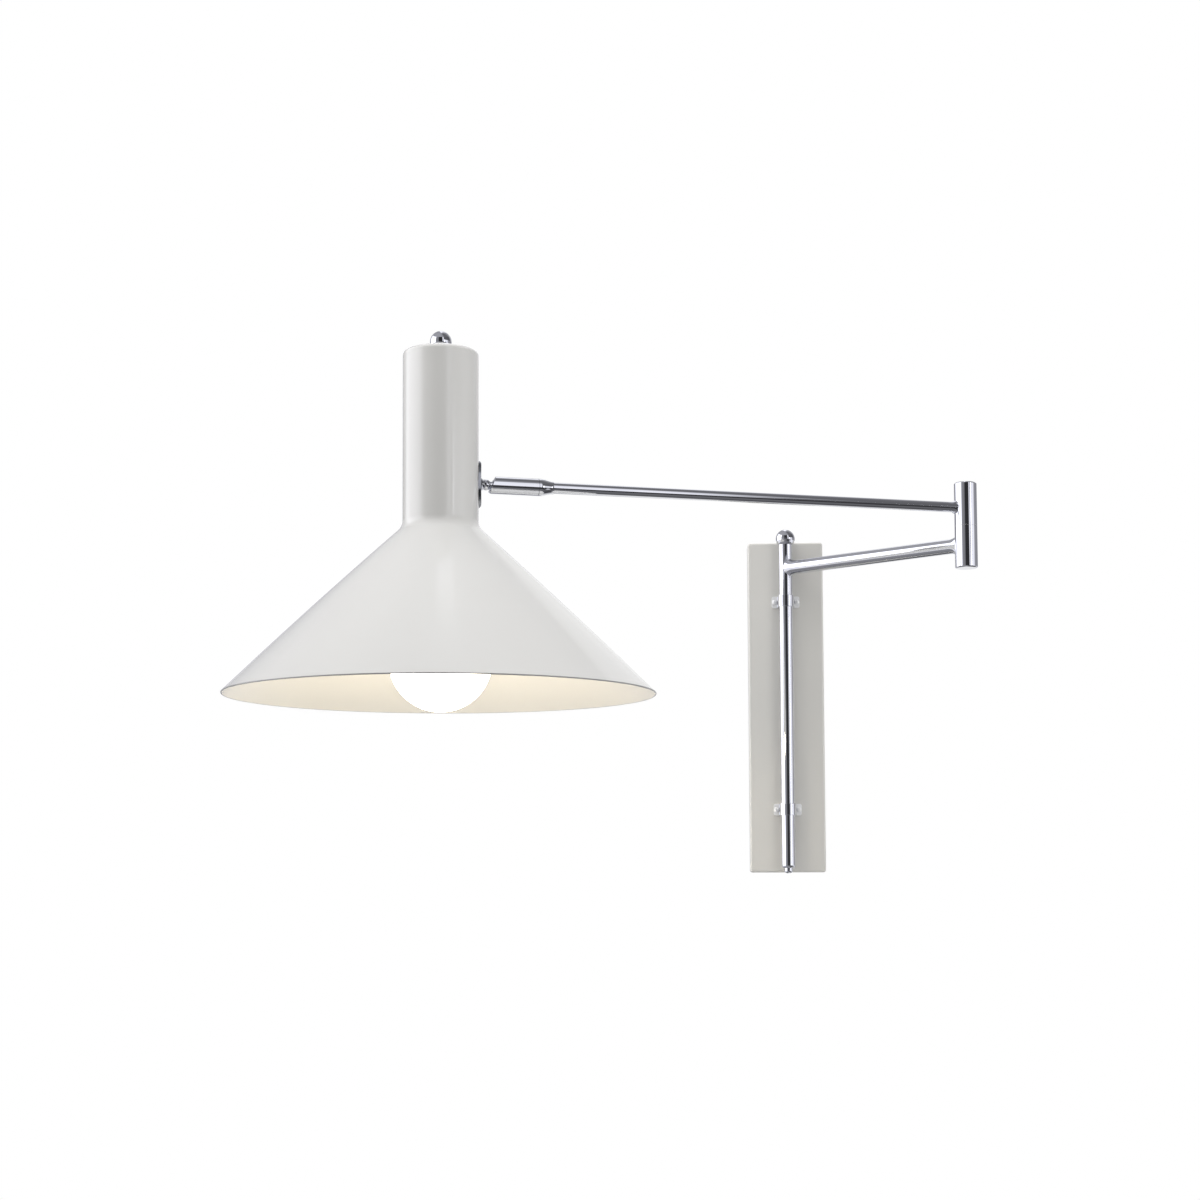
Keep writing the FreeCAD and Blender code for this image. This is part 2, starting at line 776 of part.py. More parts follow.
def lower_arm():
    """Chrome tube coped and brazed to the pole at one end and to the elbow at the other."""
    radius = lower_arm_diameter / 2
    stop = lower_arm_reach
    arm = along_x(rod(radius, 0, stop))
    arm = arm.fuse(root_flare(radius, pole_radius))
    far = root_flare(radius, 0).rotated(ORIGIN, Z_AXIS, 180)
    arm = arm.fuse(far.translated(FreeCAD.Vector(stop - elbow_radius, 0, 0)))
    arm = arm.cut(along_x(rod(radius - lower_arm_wall, -overshoot, stop + overshoot)))
    tall = lower_arm_diameter
    arm = arm.cut(rod(pole_radius, -tall, tall))
    arm = arm.cut(rod(elbow_radius, -tall, tall).translated(FreeCAD.Vector(stop, 0, 0)))
    behind_pole = box((-pole_diameter, -tall, -tall), (0, tall, tall))
    beyond_elbow = box((stop, -tall, -tall), (stop + elbow_diameter, tall, tall))
    arm = arm.cut(behind_pole).cut(beyond_elbow)
    return on_lower_arm(arm.translated(FreeCAD.Vector(0, 0, lower_arm_height)))


def elbow_lower_sleeve():
    """Lower half of the elbow, closed below by its own cap."""
    sleeve = ring(elbow_radius, elbow_bore, elbow_bottom + cap_thickness, lower_sleeve_top)
    way = wire_way(lower_arm_diameter / 2 - lower_arm_wall, lower_arm_height, lower_arm_angle + 180)
    return at_elbow(sleeve.cut(way))


def elbow_upper_sleeve():
    """Upper half of the elbow, which carries the upper arm."""
    sleeve = ring(elbow_radius, elbow_bore, upper_sleeve_bottom, elbow_top - cap_thickness)
    way = wire_way(upper_arm_diameter / 2 - upper_arm_wall, upper_arm_height, upper_arm_angle)
    return at_elbow(sleeve.cut(way))


def end_cap():
    """Chamfered end cap with a spigot that fits a sleeve. Its outer face is at height 0, facing down."""
    spigot = elbow_bore - seat_clearance
    top = cap_thickness + cap_spigot_length
    return turned((0, 0), (elbow_radius - cap_chamfer, 0), (elbow_radius, cap_chamfer),
                  (elbow_radius, cap_thickness), (spigot, cap_thickness), (spigot, top), (0, top))


def elbow_lower_cap():
    return at_elbow(end_cap().translated(FreeCAD.Vector(0, 0, elbow_bottom)))


def elbow_upper_cap():
    return at_elbow(end_cap().rotated(ORIGIN, X_AXIS, 180).translated(FreeCAD.Vector(0, 0, elbow_top)))


def elbow_washer():
    """Thin wearing washer between the elbow's halves, set back from their faces."""
    low = lower_sleeve_top
    inner = pivot_diameter / 2 + running_clearance
    return at_elbow(ring(elbow_radius - elbow_washer_set_back, inner, low, low + elbow_washer_thickness))


def elbow_lower_hub():
    """Hub fixed in the lower sleeve, which holds the pivot."""
    high = lower_sleeve_top
    inner = pivot_diameter / 2 + seat_clearance
    return at_elbow(ring(elbow_bore - seat_clearance, inner, high - hub_length, high))


def elbow_upper_hub():
    """Bush fixed in the upper sleeve, which turns on the pivot."""
    low = upper_sleeve_bottom
    inner = pivot_diameter / 2 + running_clearance
    return at_elbow(ring(elbow_bore - seat_clearance, inner, low, low + hub_length))


def spring_washer_low():
    return upper_sleeve_bottom + hub_length + running_clearance


def pivot_nut_low():
    return spring_washer_low() + spring_washer_thickness


def elbow_pivot():
    """Hollow pivot with a flange under the lower hub; the wires pass through it."""
    radius = pivot_diameter / 2
    hub_low = lower_sleeve_top - hub_length
    low = hub_low - pivot_flange_thickness
    high = pivot_nut_low() + pivot_nut_height + pivot_end
    flange = pivot_flange_diameter / 2
    inner = pivot_bore_diameter / 2
    pivot = turned((inner, low), (flange, low), (flange, hub_low), (radius, hub_low), (radius, high),
                   (inner, high))
    return at_elbow(pivot)


def elbow_spring_washer():
    """Friction spring washer under the pivot's nut."""
    inner = pivot_diameter / 2 + seat_clearance
    return at_elbow(ring(spring_washer_diameter / 2, inner, spring_washer_low(), pivot_nut_low()))


def elbow_pivot_nut():
    low = pivot_nut_low()
    inner = pivot_diameter / 2 + seat_clearance
    return at_elbow(hex_ring(pivot_nut_across, inner, low, low + pivot_nut_height))


# --- upper arm ---------------------------------------------------------------------------------------
def fitting_start():
    return ball_distance - barrel_rear - barrel_seam - end_fitting_length


def upper_arm():
    """Slim chrome tube from the elbow's upper half into the tapered end fitting."""
    radius = upper_arm_diameter / 2
    stop = fitting_start() + end_fitting_socket - running_clearance
    arm = along_x(rod(radius, 0, stop))
    arm = arm.fuse(root_flare(radius, elbow_radius))
    arm = arm.cut(along_x(rod(radius - upper_arm_wall, -overshoot, stop + overshoot)))
    tall = elbow_diameter
    arm = arm.cut(rod(elbow_radius, -tall, tall)).cut(box((-tall, -tall, -tall), (0, tall, tall)))
    return on_upper_arm(arm.translated(FreeCAD.Vector(0, 0, upper_arm_height)))


def arm_end_fitting():
    """Tapered fitting on the arm's end, with the spigot that the barrel turns on."""
    socket = upper_arm_diameter / 2 + seat_clearance
    small = socket + end_fitting_lip
    inner = end_fitting_bore_diameter / 2
    spigot = spigot_diameter / 2
    groove = spigot - clip_ring_groove
    rear = -barrel_rear - barrel_seam
    start = rear - end_fitting_length
    end = rear + spigot_length
    ring_low = clip_ring_low()
    ring_high = ring_low + clip_ring_thickness
    bottom = start + end_fitting_socket
    fitting = turned((socket, start), (small, start), (barrel_radius, rear - end_fitting_land),
                     (barrel_radius, rear), (spigot, rear), (spigot, ring_low), (groove, ring_low),
                     (groove, ring_high), (spigot, ring_high), (spigot, end), (inner, end), (inner, bottom),
                     (socket, bottom))
    return on_barrel(fitting)


def clip_ring_low():
    """Where the snap ring's groove starts, measured from the ball's centre."""
    return -barrel_rear + bush_length + barrel_seam


def barrel_clip_ring():
    """Snap ring in the spigot's groove, which keeps the barrel on the arm."""
    low = clip_ring_low() + seat_clearance
    high = clip_ring_low() + clip_ring_thickness - seat_clearance
    inner = spigot_diameter / 2 - clip_ring_groove + seat_clearance
    half_gap = clip_ring_gap / 2
    gap = box((-half_gap, 0, low - overshoot), (half_gap, clip_ring_diameter, high + overshoot))
    return on_barrel(ring(clip_ring_diameter / 2, inner, low, high).cut(gap))


# --- swivel barrel -----------------------------------------------------------------------------------
def tilt_fan(radius, reach):
    """The space that a rod of this radius sweeps as the stud tilts, built along Z from the ball's centre.

    Towards the barrel's top the stud tilts out by tilt_out, and towards its underside in by tilt_in.
    Once the barrel lies along the arm, its top is this solid's -X side.
    """
    # a slice about Y starts at its +Z direction, which is also where the untilted stud points
    fan = Part.makeCylinder(reach, 2 * radius, FreeCAD.Vector(0, -radius, 0), Y_AXIS, tilt_out + tilt_in)
    fan = fan.rotated(ORIGIN, Y_AXIS, -tilt_out)
    for angle in (-tilt_out, tilt_in):
        fan = fan.fuse(rod(radius, 0, reach).rotated(ORIGIN, Y_AXIS, angle))
    return fan


def bead_sweep(radius):
    """The space that the stud's bead sweeps as it tilts, built like tilt_fan."""
    circle = Part.Wire(Part.makeCircle(radius, FreeCAD.Vector(0, 0, stud_bead_offset), X_AXIS))
    arc = Part.Face(circle).rotated(ORIGIN, Y_AXIS, -tilt_out).revolve(ORIGIN, Y_AXIS, tilt_out + tilt_in)
    sweep = outward(arc)
    for angle in (-tilt_out, tilt_in):
        end = Part.makeSphere(radius, FreeCAD.Vector(0, 0, stud_bead_offset))
        sweep = sweep.fuse(end.rotated(ORIGIN, Y_AXIS, angle))
    return sweep


def swivel_barrel():
    """Turned socket: a seat that wraps the ball, a slanted mouth and the room the stud tilts in."""
    throat = stud_neck_diameter / 2 + stud_clearance
    recess = stud_bead_diameter / 2 + stud_clearance
    throat_back = math.sqrt(seat_radius ** 2 - throat ** 2)
    recess_back = stud_bead_offset - math.sqrt(recess ** 2 - throat ** 2)
    recess_mouth = math.sqrt(recess ** 2 - (stud_bead_offset - barrel_lip) ** 2)
    seat_angle = math.acos(throat_back / seat_radius) / 2 + math.pi / 4
    seat_middle = (seat_radius * math.sin(seat_angle), seat_radius * math.cos(seat_angle))
    recess_angle = (math.asin(throat / recess) + math.asin(recess_mouth / recess)) / 2
    recess_middle = (recess * math.sin(recess_angle), stud_bead_offset - recess * math.cos(recess_angle))
    front = barrel_front_radius
    turn = front * (1 - math.cos(math.radians(45)))
    chamfer = barrel_rear_chamfer
    barrel = turned((barrel_bore, -barrel_rear), (barrel_radius - chamfer, -barrel_rear),
                    (barrel_radius, -barrel_rear + chamfer), (barrel_radius, barrel_lip - front),
                    ((barrel_radius - turn, barrel_lip - turn), (barrel_radius - front, barrel_lip)),
                    (recess_mouth, barrel_lip), (recess_middle, (throat, recess_back)), (throat, throat_back),
                    (seat_middle, (seat_radius, 0)), (barrel_bore, 0))
    barrel = barrel.cut(tilt_fan(throat, barrel_diameter))
    barrel = barrel.cut(bead_sweep(recess))
    slant = math.degrees(math.atan2(barrel_lip - barrel_top_lip, barrel_diameter))
    wide = barrel_diameter * 2
    beyond = box((-wide, -wide, 0), (wide, wide, wide)).rotated(ORIGIN, Y_AXIS, -slant)
    middle = (barrel_lip + barrel_top_lip) / 2
    barrel = barrel.cut(beyond.translated(FreeCAD.Vector(0, 0, middle)))
    return on_barrel(barrel)


def barrel_bush():
    """Bearing bush in the barrel's rear, turning on the arm's spigot."""
    bush = ring(barrel_bore - seat_clearance, spigot_diameter / 2 + running_clearance, -barrel_rear,
                -barrel_rear + bush_length)
    return on_barrel(bush)


def seat_pad_back():
    return seat_pad_front - seat_pad_length


def ball_seat_pad():
    """Plastic pad with a hollow face that presses on the ball from behind."""
    pad = ring(barrel_bore - running_clearance, wire_way_diameter / 2, seat_pad_back(), seat_pad_front)
    return on_barrel(pad.cut(Part.makeSphere(seat_radius)))


def disc_springs():
    """Stack of coned spring discs behind the pad, set in turn the one and the other way."""
    discs = []
    outer = barrel_bore - disc_spring_outer_gap
    inner = wire_way_diameter / 2 + disc_spring_inner_gap
    thick = disc_spring_thickness
    for k in range(disc_spring_count):
        inner_low = seat_pad_back() - (k + 1) * disc_spring_pitch
        outer_low = inner_low
        if k % 2:
            inner_low += disc_spring_rise
        else:
            outer_low += disc_spring_rise
        discs.append(turned((inner, inner_low), (outer, outer_low), (outer, outer_low + thick),
                            (inner, inner_low + thick)))
    return on_barrel(joined(discs))


def spring_backing_ring():
    """Threaded ring in the barrel that loads the disc springs."""
    high = seat_pad_back() - disc_spring_count * disc_spring_pitch - seat_clearance
    low = high - backing_ring_thickness
    body = ring(barrel_bore - seat_clearance, wire_way_diameter / 2 + disc_spring_inner_gap, low, high)
    half = screw_slot_width / 2
    slot = box((-barrel_bore, -half, low - overshoot), (barrel_bore, half, low + screw_slot_depth))
    return on_barrel(body.cut(slot))


# --- ball stud and what clamps it to the shade's neck ------------------------------------------------
def escutcheon_front():
    """Distance from the ball's centre to the escutcheon's outer face."""
    return ball_to_shade_axis - neck_radius - escutcheon_thickness


def ball_stud():
    """Hollow stud turned with a ball, a neck, a bead, a coned collar and a threaded shank."""
    inner = stud_bore_diameter / 2
    neck = stud_neck_diameter / 2
    bead = stud_bead_diameter / 2
    small = stud_collar_small_diameter / 2
    collar = stud_collar_diameter / 2
    shank = stud_shank_diameter / 2
    back = -stud_back_flat
    back_radius = math.sqrt(ball_radius ** 2 - stud_back_flat ** 2)
    neck_start = math.sqrt(ball_radius ** 2 - neck ** 2)
    neck_end = stud_bead_offset - math.sqrt(bead ** 2 - neck ** 2)
    collar_start = stud_bead_offset + math.sqrt(bead ** 2 - small ** 2)
    face = escutcheon_front()
    end = stud_nut_low() + stud_nut_height + stud_end_spare
    stud = turned((inner, back), (back_radius, back), ((ball_radius, 0), (neck, neck_start)),
                  (neck, neck_end), ((bead, stud_bead_offset), (small, collar_start)), (collar, face),
                  (shank, face), (shank, end), (inner, end))
    return on_barrel(stud)


def escutcheon():
    """Oval plate curved to the neck, with bevelled edges, under the stud's collar."""
    outer = neck_radius + escutcheon_thickness
    body = ring(outer, neck_radius + seat_clearance, -escutcheon_height, escutcheon_height)
    oval = elliptic_prism(escutcheon_height / 2, escutcheon_width / 2, outer * 2)
    body = body.common(oval)
    rim_height = escutcheon_height / 2 - escutcheon_bevel
    rim_width = escutcheon_width / 2 - escutcheon_bevel
    bevel = elliptic_cone(rim_height, rim_width, outer, escutcheon_bevel * 3)
    body = body.common(bevel)
    stud_hole = along_x(rod(stud_shank_diameter / 2 + seat_clearance, -outer * 2, 0))
    return at_shade(body.cut(stud_hole).translated(FreeCAD.Vector(0, 0, upper_arm_height)))


def ellipse_wire(half_height, half_width, x):
    """Upright ellipse in the plane at this x, with its long axis along Z."""
    centre = FreeCAD.Vector(x, 0, 0)
    tall = FreeCAD.Vector(x, 0, half_height)
    wide = FreeCAD.Vector(x, half_width, 0)
    return Part.Wire(Part.Ellipse(tall, wide, centre).toShape())


def elliptic_prism(half_height, half_width, length):
    face = Part.Face(ellipse_wire(half_height, half_width, 0))
    return outward(face.extrude(FreeCAD.Vector(-length, 0, 0)))


def elliptic_cone(half_height, half_width, outer, depth):
    """Elliptic cone that narrows towards the barrel: the trimming form of the bevelled edge."""
    front = ellipse_wire(half_height, half_width, -outer)
    back = ellipse_wire(half_height + depth, half_width + depth, -outer + depth)
    nose = Part.makeLoft([front, back], True, True)
    rear = Part.Face(ellipse_wire(half_height + depth, half_width + depth, -outer + depth))
    return outward(nose).fuse(outward(rear.extrude(FreeCAD.Vector(outer - depth, 0, 0))))


def saddle_washer_back():
    """Distance from the shade's axis to the saddle washer's flat face."""
    return neck_bore - saddle_washer_thickness


def saddle_washer():
    """Washer inside the neck: round against the neck, flat under the nut."""
    back = saddle_washer_back()
    half = saddle_washer_width / 2
    block = box((-neck_bore, -half, -half), (-back, half, half))
    block = block.common(rod(neck_bore - seat_clearance, -half, half))
    block = block.cut(along_x(rod(stud_shank_diameter / 2 + seat_clearance, -neck_radius, 0)))
    return at_shade(block.translated(FreeCAD.Vector(0, 0, upper_arm_height)))


def stud_nut_low():
    """Distance from the ball's centre to the nut's seat."""
    return ball_to_shade_axis - saddle_washer_back()


def stud_nut():
    low = stud_nut_low() + seat_clearance
    inner = stud_shank_diameter / 2 + seat_clearance
    return on_barrel(hex_ring(stud_nut_across, inner, low, low + stud_nut_height))


# --- shade -------------------------------------------------------------------------------------------
def shade_side(inset):
    """Outline of the shade's wall from rim to crown, this far inside its outer face.

    Gives the rim point, then the steps that follow it: up the slightly bulging cone, round the flare, up
    the neck, round the shoulder and up the crown to its flat land.
    """
    rim = (rim_diameter / 2 - inset * math.cos(cone_rim_angle), rim_height - inset * math.sin(cone_rim_angle))
    radius = neck_radius - inset
    flare = flare_radius + inset
    centre = (radius + flare, flare_height)
    on_cone = (centre[0] - flare * math.cos(cone_top_angle), centre[1] - flare * math.sin(cone_top_angle))
    half = cone_top_angle / 2
    flare_middle = (centre[0] - flare * math.cos(half), centre[1] - flare * math.sin(half))
    slope = math.radians(cone_half_angle)
    chord = math.dist(rim, on_cone)
    bulge = chord / 2 * math.tan(math.radians(cone_bulge_angle / 2))
    cone_middle = ((rim[0] + on_cone[0]) / 2 + bulge * math.cos(slope),
                   (rim[1] + on_cone[1]) / 2 + bulge * math.sin(slope))
    shoulder = neck_shoulder_radius - inset
    top = neck_shoulder_height - inset
    corner = shoulder * (1 - math.cos(math.radians(45)))
    land = (neck_crown_land_diameter / 2, neck_crown_height - inset)
    return rim, [(cone_middle, on_cone), (flare_middle, (radius, flare_height)), (radius, top - shoulder),
                 ((radius - corner, top - corner), (radius - shoulder, top)), land]


def reversed_steps(start, steps):
    """The same outline walked from its last point back to its start."""
    points = [start] + [s[1] if isinstance(s[0], tuple) else s for s in steps]
    middles = [s[0] if isinstance(s[0], tuple) else None for s in steps]
    back = []
    for k in range(len(steps) - 1, -1, -1):
        back.append((middles[k], points[k]) if middles[k] else points[k])
    return points[-1], back


def shade():
    """One spun sheet-metal shell: an open cone, a concave flare and a tall closed neck."""
    outer_rim, outer_steps = shade_side(0.0)
    inner_rim, inner_steps = shade_side(shade_wall)
    bead = shade_wall / 2
    rim_middle = ((outer_rim[0] + inner_rim[0]) / 2 + bead * math.sin(cone_rim_angle),
                  (outer_rim[1] + inner_rim[1]) / 2 - bead * math.cos(cone_rim_angle))
    rod_hole = nipple_diameter / 2 + running_clearance
    inner_top = (rod_hole, crown_inside())
    outer_top = (rod_hole, neck_crown_height)
    land, down = reversed_steps(outer_rim, outer_steps)
    steps = inner_steps + [inner_top, outer_top, land] + down + [(rim_middle, inner_rim)]
    shell = closed_turned(inner_rim, steps)
    stud_hole = along_x(rod(stud_shank_diameter / 2 + seat_clearance, -neck_diameter, 0))
    return at_shade(shell.cut(stud_hole.translated(FreeCAD.Vector(0, 0, upper_arm_height))))


def closed_turned(start, steps):
    """Like turned, for an outline whose last step already ends at its start."""
    edges = outline_edges(start, steps[:-1], lambda p: FreeCAD.Vector(p[0], 0, p[1]))[:-1]
    middle, end = steps[-1]
    last = steps[-2][1] if isinstance(steps[-2][0], tuple) else steps[-2]
    arc = Part.Arc(FreeCAD.Vector(last[0], 0, last[1]), FreeCAD.Vector(middle[0], 0, middle[1]),
                   FreeCAD.Vector(end[0], 0, end[1]))
    edges.append(arc.toShape())
    return outward(Part.Face(Part.Wire(edges)).revolve(ORIGIN, Z_AXIS, 360))


def finial_base():
    return neck_crown_height + finial_washer_thickness + seat_clearance


def shade_finial():
    """Ball nut on top of the neck, screwed onto the threaded rod."""
    return at_shade(finial(finial_base(), 0.0, nipple_diameter / 2 + seat_clearance, nipple_top_above_crown))


def shade_finial_washer():
    low = neck_crown_height + seat_clearance / 2
    high = low + finial_washer_thickness
    return at_shade(ring(finial_washer_diameter / 2, nipple_diameter / 2 + running_clearance, low, high))


def crown_inside():
    return neck_crown_height - shade_wall


def lock_washer():
    high = crown_inside() - seat_clearance
    low = high - lock_washer_thickness
    return at_shade(ring(lock_washer_diameter / 2, nipple_diameter / 2 + running_clearance, low, high))


def lock_nut():
    high = crown_inside() - lock_washer_thickness - 2 * seat_clearance
    inner = nipple_diameter / 2 + seat_clearance
    return at_shade(hex_ring(lock_nut_across, inner, high - lock_nut_height, high))


def threaded_rod():
    """Hollow threaded rod from the ball nut down into the lampholder's cap."""
    low = holder_top - holder_rod_entry
    high = neck_crown_height + nipple_top_above_crown
    return at_shade(ring(nipple_diameter / 2, nipple_bore_diameter / 2, low, high))


# --- lampholder --------------------------------------------------------------------------------------
def lampholder_cap():
    """Domed cap over the insert, with a threaded collar for the rod."""
    radius = holder_diameter / 2
    inner = radius - holder_wall
    collar = holder_cap_collar_diameter / 2
    rod_hole = nipple_diameter / 2 + seat_clearance
    shoulder = holder_top - holder_rod_entry / 2
    dome = shoulder - insert_top
    lean = math.sqrt(0.5)
    outer_middle = (collar + (radius - collar) * lean, insert_top + dome * lean)
    ceiling = shoulder - holder_wall
    inner_middle = (collar + (inner - collar) * lean, insert_top + (ceiling - insert_top) * lean)
    cap = turned((inner, holder_split), (radius, holder_split), (radius, insert_top),
                 (outer_middle, (collar, shoulder)), (collar, holder_top), (rod_hole, holder_top),
                 (rod_hole, ceiling), (collar, ceiling), (inner_middle, (inner, insert_top)))
    return at_shade(cap)


def lampholder_skirt():
    """Moulded skirt with a ribbed grip and a lip at its mouth."""
    radius = holder_diameter / 2
    wall = holder_wall
    high = holder_split - seat_clearance
    low = bulb_glass_end - holder_mouth_overlap
    mouth = holder_mouth_diameter / 2
    lip = low + holder_mouth_lip
    waist = lip + mouth - radius
    skirt = turned((mouth - wall, low), (mouth, low), (mouth, lip), (radius, waist), (radius, high),
                   (radius - wall, high), (radius - wall, waist), (mouth - wall, lip))
    groove = rod(holder_grip_diameter / 2, high - holder_grip_length, high - holder_grip_gap)
    groove = groove.translated(FreeCAD.Vector(radius + holder_grip_sink, 0, 0))
    for k in range(holder_grip_count):
        skirt = skirt.cut(groove.rotated(ORIGIN, Z_AXIS, 360.0 / holder_grip_count * k))
    return at_shade(skirt)


def lampholder_insert():
    """Ceramic disc across the holder that carries the contacts and the screw shell."""
    disc = rod(holder_diameter / 2 - holder_wall - seat_clearance, insert_low, insert_top)
    for side in (-1, 1):
        start = (0, side * insert_hole_spacing / 2, insert_low)
        disc = disc.cut(hole(insert_hole_diameter / 2, start, (0, 0, 1), insert_thickness))
    return at_shade(disc)


def centre_contact():
    """Sprung tongue that bears on the bulb's tip."""
    thick = contact_thickness
    high = insert_low - seat_clearance
    leaf = high - thick
    low = bulb_tip + seat_clearance
    half = contact_width / 2
    # (x, z) outline: the fixed leaf on the insert, then the tongue that drops to the bulb and back
    outline = [(-contact_reach, leaf), (-contact_reach, high), (contact_foot, high), (contact_foot, leaf),
               (-contact_bend, leaf), (thick, low + thick), (contact_tip, low + thick), (contact_tip, low),
               (-thick, low), (-contact_bend - 2 * thick, leaf)]
    points = [FreeCAD.Vector(x, -half, z) for x, z in outline]
    face = Part.Face(Part.makePolygon(points + points[:1]))
    return at_shade(outward(face.extrude(FreeCAD.Vector(0, contact_width, 0))))


def screw_shell():
    """Brass sleeve that takes the bulb's cap."""
    inner = bulb_cap_diameter / 2 + holder_thread_clearance
    high = insert_low - seat_clearance
    return at_shade(ring(inner + holder_thread_wall, inner, bulb_glass_end, high))


# --- bulb --------------------------------------------------------------------------------------------
def bulb_side(inset):
    """Outline of the glass from its lowest point to the cap: globe, flowing shoulder and neck."""
    radius = bulb_diameter / 2 - inset
    neck = bulb_neck_diameter / 2 - inset
    shoulder = bulb_shoulder_radius + inset
    across = neck + shoulder
    rise = math.sqrt((radius + shoulder) ** 2 - across ** 2)
    angle = math.atan2(rise, across)
    low = bulb_centre_height
    touch = (radius * math.cos(angle), low + radius * math.sin(angle))
    half = angle / 2
    belly = (radius * math.cos((angle - math.pi / 2) / 2), low + radius * math.sin((angle - math.pi / 2) / 2))
    waist = (across - shoulder * math.cos(half), low + rise - shoulder * math.sin(half))
    return (0, low - radius), [(belly, touch), (waist, (neck, low + rise)), (neck, bulb_glass_end)]


def bulb_globe():
    """Opal glass globe, hollow, open at the neck where the cap is cemented on."""
    bottom, outer_steps = bulb_side(0.0)
    inner_bottom, inner_steps = bulb_side(bulb_glass)
    last, back = reversed_steps(inner_bottom, inner_steps)
    return at_shade(turned(bottom, *(outer_steps + [last] + back)))


def bulb_cap():
    """Screw cap of the bulb with its insulator and centre contact."""
    radius = bulb_cap_diameter / 2
    low = bulb_glass_end
    high = bulb_tip - bulb_contact_height
    inner = radius - bulb_cap_wall
    contact = bulb_contact_diameter / 2
    cone = high - bulb_insulator_height
    cap = turned((inner, low), (radius, low), (radius, cone), (contact + bulb_insulator_lip, high),
                 (contact, high), (contact, bulb_tip), (0, bulb_tip), (0, cone), (inner, cone))
    return at_shade(cap)


# --- every node and its solid ------------------------------------------------------------------------
NODES = {
    "cover_plate": cover_plate,
    "mounting_bar": mounting_bar,
    "cover_screws": cover_screws,
    "terminal_block": terminal_block,
    "terminal_screws": terminal_screws,
    "earth_terminal": earth_terminal,
    "upper_clip": lambda: clip_strap(clip_heights[0]),
    "lower_clip": lambda: clip_strap(clip_heights[1]),
    "upper_clip_saddle": lambda: clip_saddle(clip_heights[0], False),
    "lower_clip_saddle": lambda: clip_saddle(clip_heights[1], True),
    "clip_screws": clip_screws,
    "clip_nut_plates": clip_nut_plates,
    "pole_stop_pin": stop_pin,
    "pole_tube": pole_tube,
    "pole_finial": pole_finial,
    "pole_end_plug": pole_end_plug,
    "lower_arm": lower_arm,
    "elbow_lower_sleeve": elbow_lower_sleeve,
    "elbow_lower_cap": elbow_lower_cap,
    "elbow_lower_hub": elbow_lower_hub,
    "elbow_washer": elbow_washer,
    "elbow_pivot": elbow_pivot,
    "elbow_spring_washer": elbow_spring_washer,
    "elbow_pivot_nut": elbow_pivot_nut,
    "elbow_upper_sleeve": elbow_upper_sleeve,
    "elbow_upper_hub": elbow_upper_hub,
    "elbow_upper_cap": elbow_upper_cap,
    "upper_arm": upper_arm,
    "arm_end_fitting": arm_end_fitting,
    "barrel_clip_ring": barrel_clip_ring,
    "swivel_barrel": swivel_barrel,
    "barrel_bush": barrel_bush,
    "ball_seat_pad": ball_seat_pad,
    "disc_springs": disc_springs,
    "spring_backing_ring": spring_backing_ring,
    "ball_stud": ball_stud,
    "escutcheon": escutcheon,
    "saddle_washer": saddle_washer,
    "stud_nut": stud_nut,
    "shade": shade,
    "shade_finial": shade_finial,
    "shade_finial_washer": shade_finial_washer,
    "lock_washer": lock_washer,
    "lock_nut": lock_nut,
    "threaded_rod": threaded_rod,
    "lampholder_cap": lampholder_cap,
    "lampholder_skirt": lampholder_skirt,
    "lampholder_insert": lampholder_insert,
    "centre_contact": centre_contact,
    "screw_shell": screw_shell,
    "bulb_cap": bulb_cap,
    "bulb_globe": bulb_globe,
}

os.makedirs("parts", exist_ok=True)
for name, build in NODES.items():
    build().exportStep("parts/" + name + ".step")
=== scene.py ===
import json
import math

import bpy
from mathutils import Matrix, Vector


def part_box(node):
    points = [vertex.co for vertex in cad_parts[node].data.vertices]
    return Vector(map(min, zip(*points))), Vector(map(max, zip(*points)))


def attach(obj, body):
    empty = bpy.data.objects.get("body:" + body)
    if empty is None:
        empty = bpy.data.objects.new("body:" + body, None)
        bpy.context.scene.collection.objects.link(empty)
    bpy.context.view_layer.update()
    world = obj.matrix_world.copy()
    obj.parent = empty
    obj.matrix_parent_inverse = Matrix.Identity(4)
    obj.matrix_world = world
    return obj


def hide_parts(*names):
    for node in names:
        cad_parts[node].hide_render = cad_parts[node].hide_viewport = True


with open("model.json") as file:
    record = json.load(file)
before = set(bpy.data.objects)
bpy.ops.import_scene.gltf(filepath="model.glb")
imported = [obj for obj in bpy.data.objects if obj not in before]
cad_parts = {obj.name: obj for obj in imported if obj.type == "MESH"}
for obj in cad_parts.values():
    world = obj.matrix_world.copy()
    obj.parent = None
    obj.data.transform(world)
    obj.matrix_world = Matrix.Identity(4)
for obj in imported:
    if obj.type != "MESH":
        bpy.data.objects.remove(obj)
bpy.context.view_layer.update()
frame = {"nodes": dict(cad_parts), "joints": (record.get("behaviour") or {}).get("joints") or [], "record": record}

# Articulating wall lamp. Lengths are in millimetres up to the point where a mesh is made, which is in metres.
MM = 0.001

# --- places, taken from the frame ----------------------------------------------------------------------
JOINTS = {j["name"]: j for j in frame["joints"]}
UP = Vector((0, 0, 1))


def joint_place(name):
    return Vector(JOINTS[name]["pos_m"]) / MM


def span(node):
    """Lowest and highest corner of a CAD node, in millimetres."""
    low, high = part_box(node)
    return low / MM, high / MM


def middle(node):
    low, high = span(node)
    return (low + high) / 2


def half_width(node):
    low, high = span(node)
    return (high.x - low.x) / 2


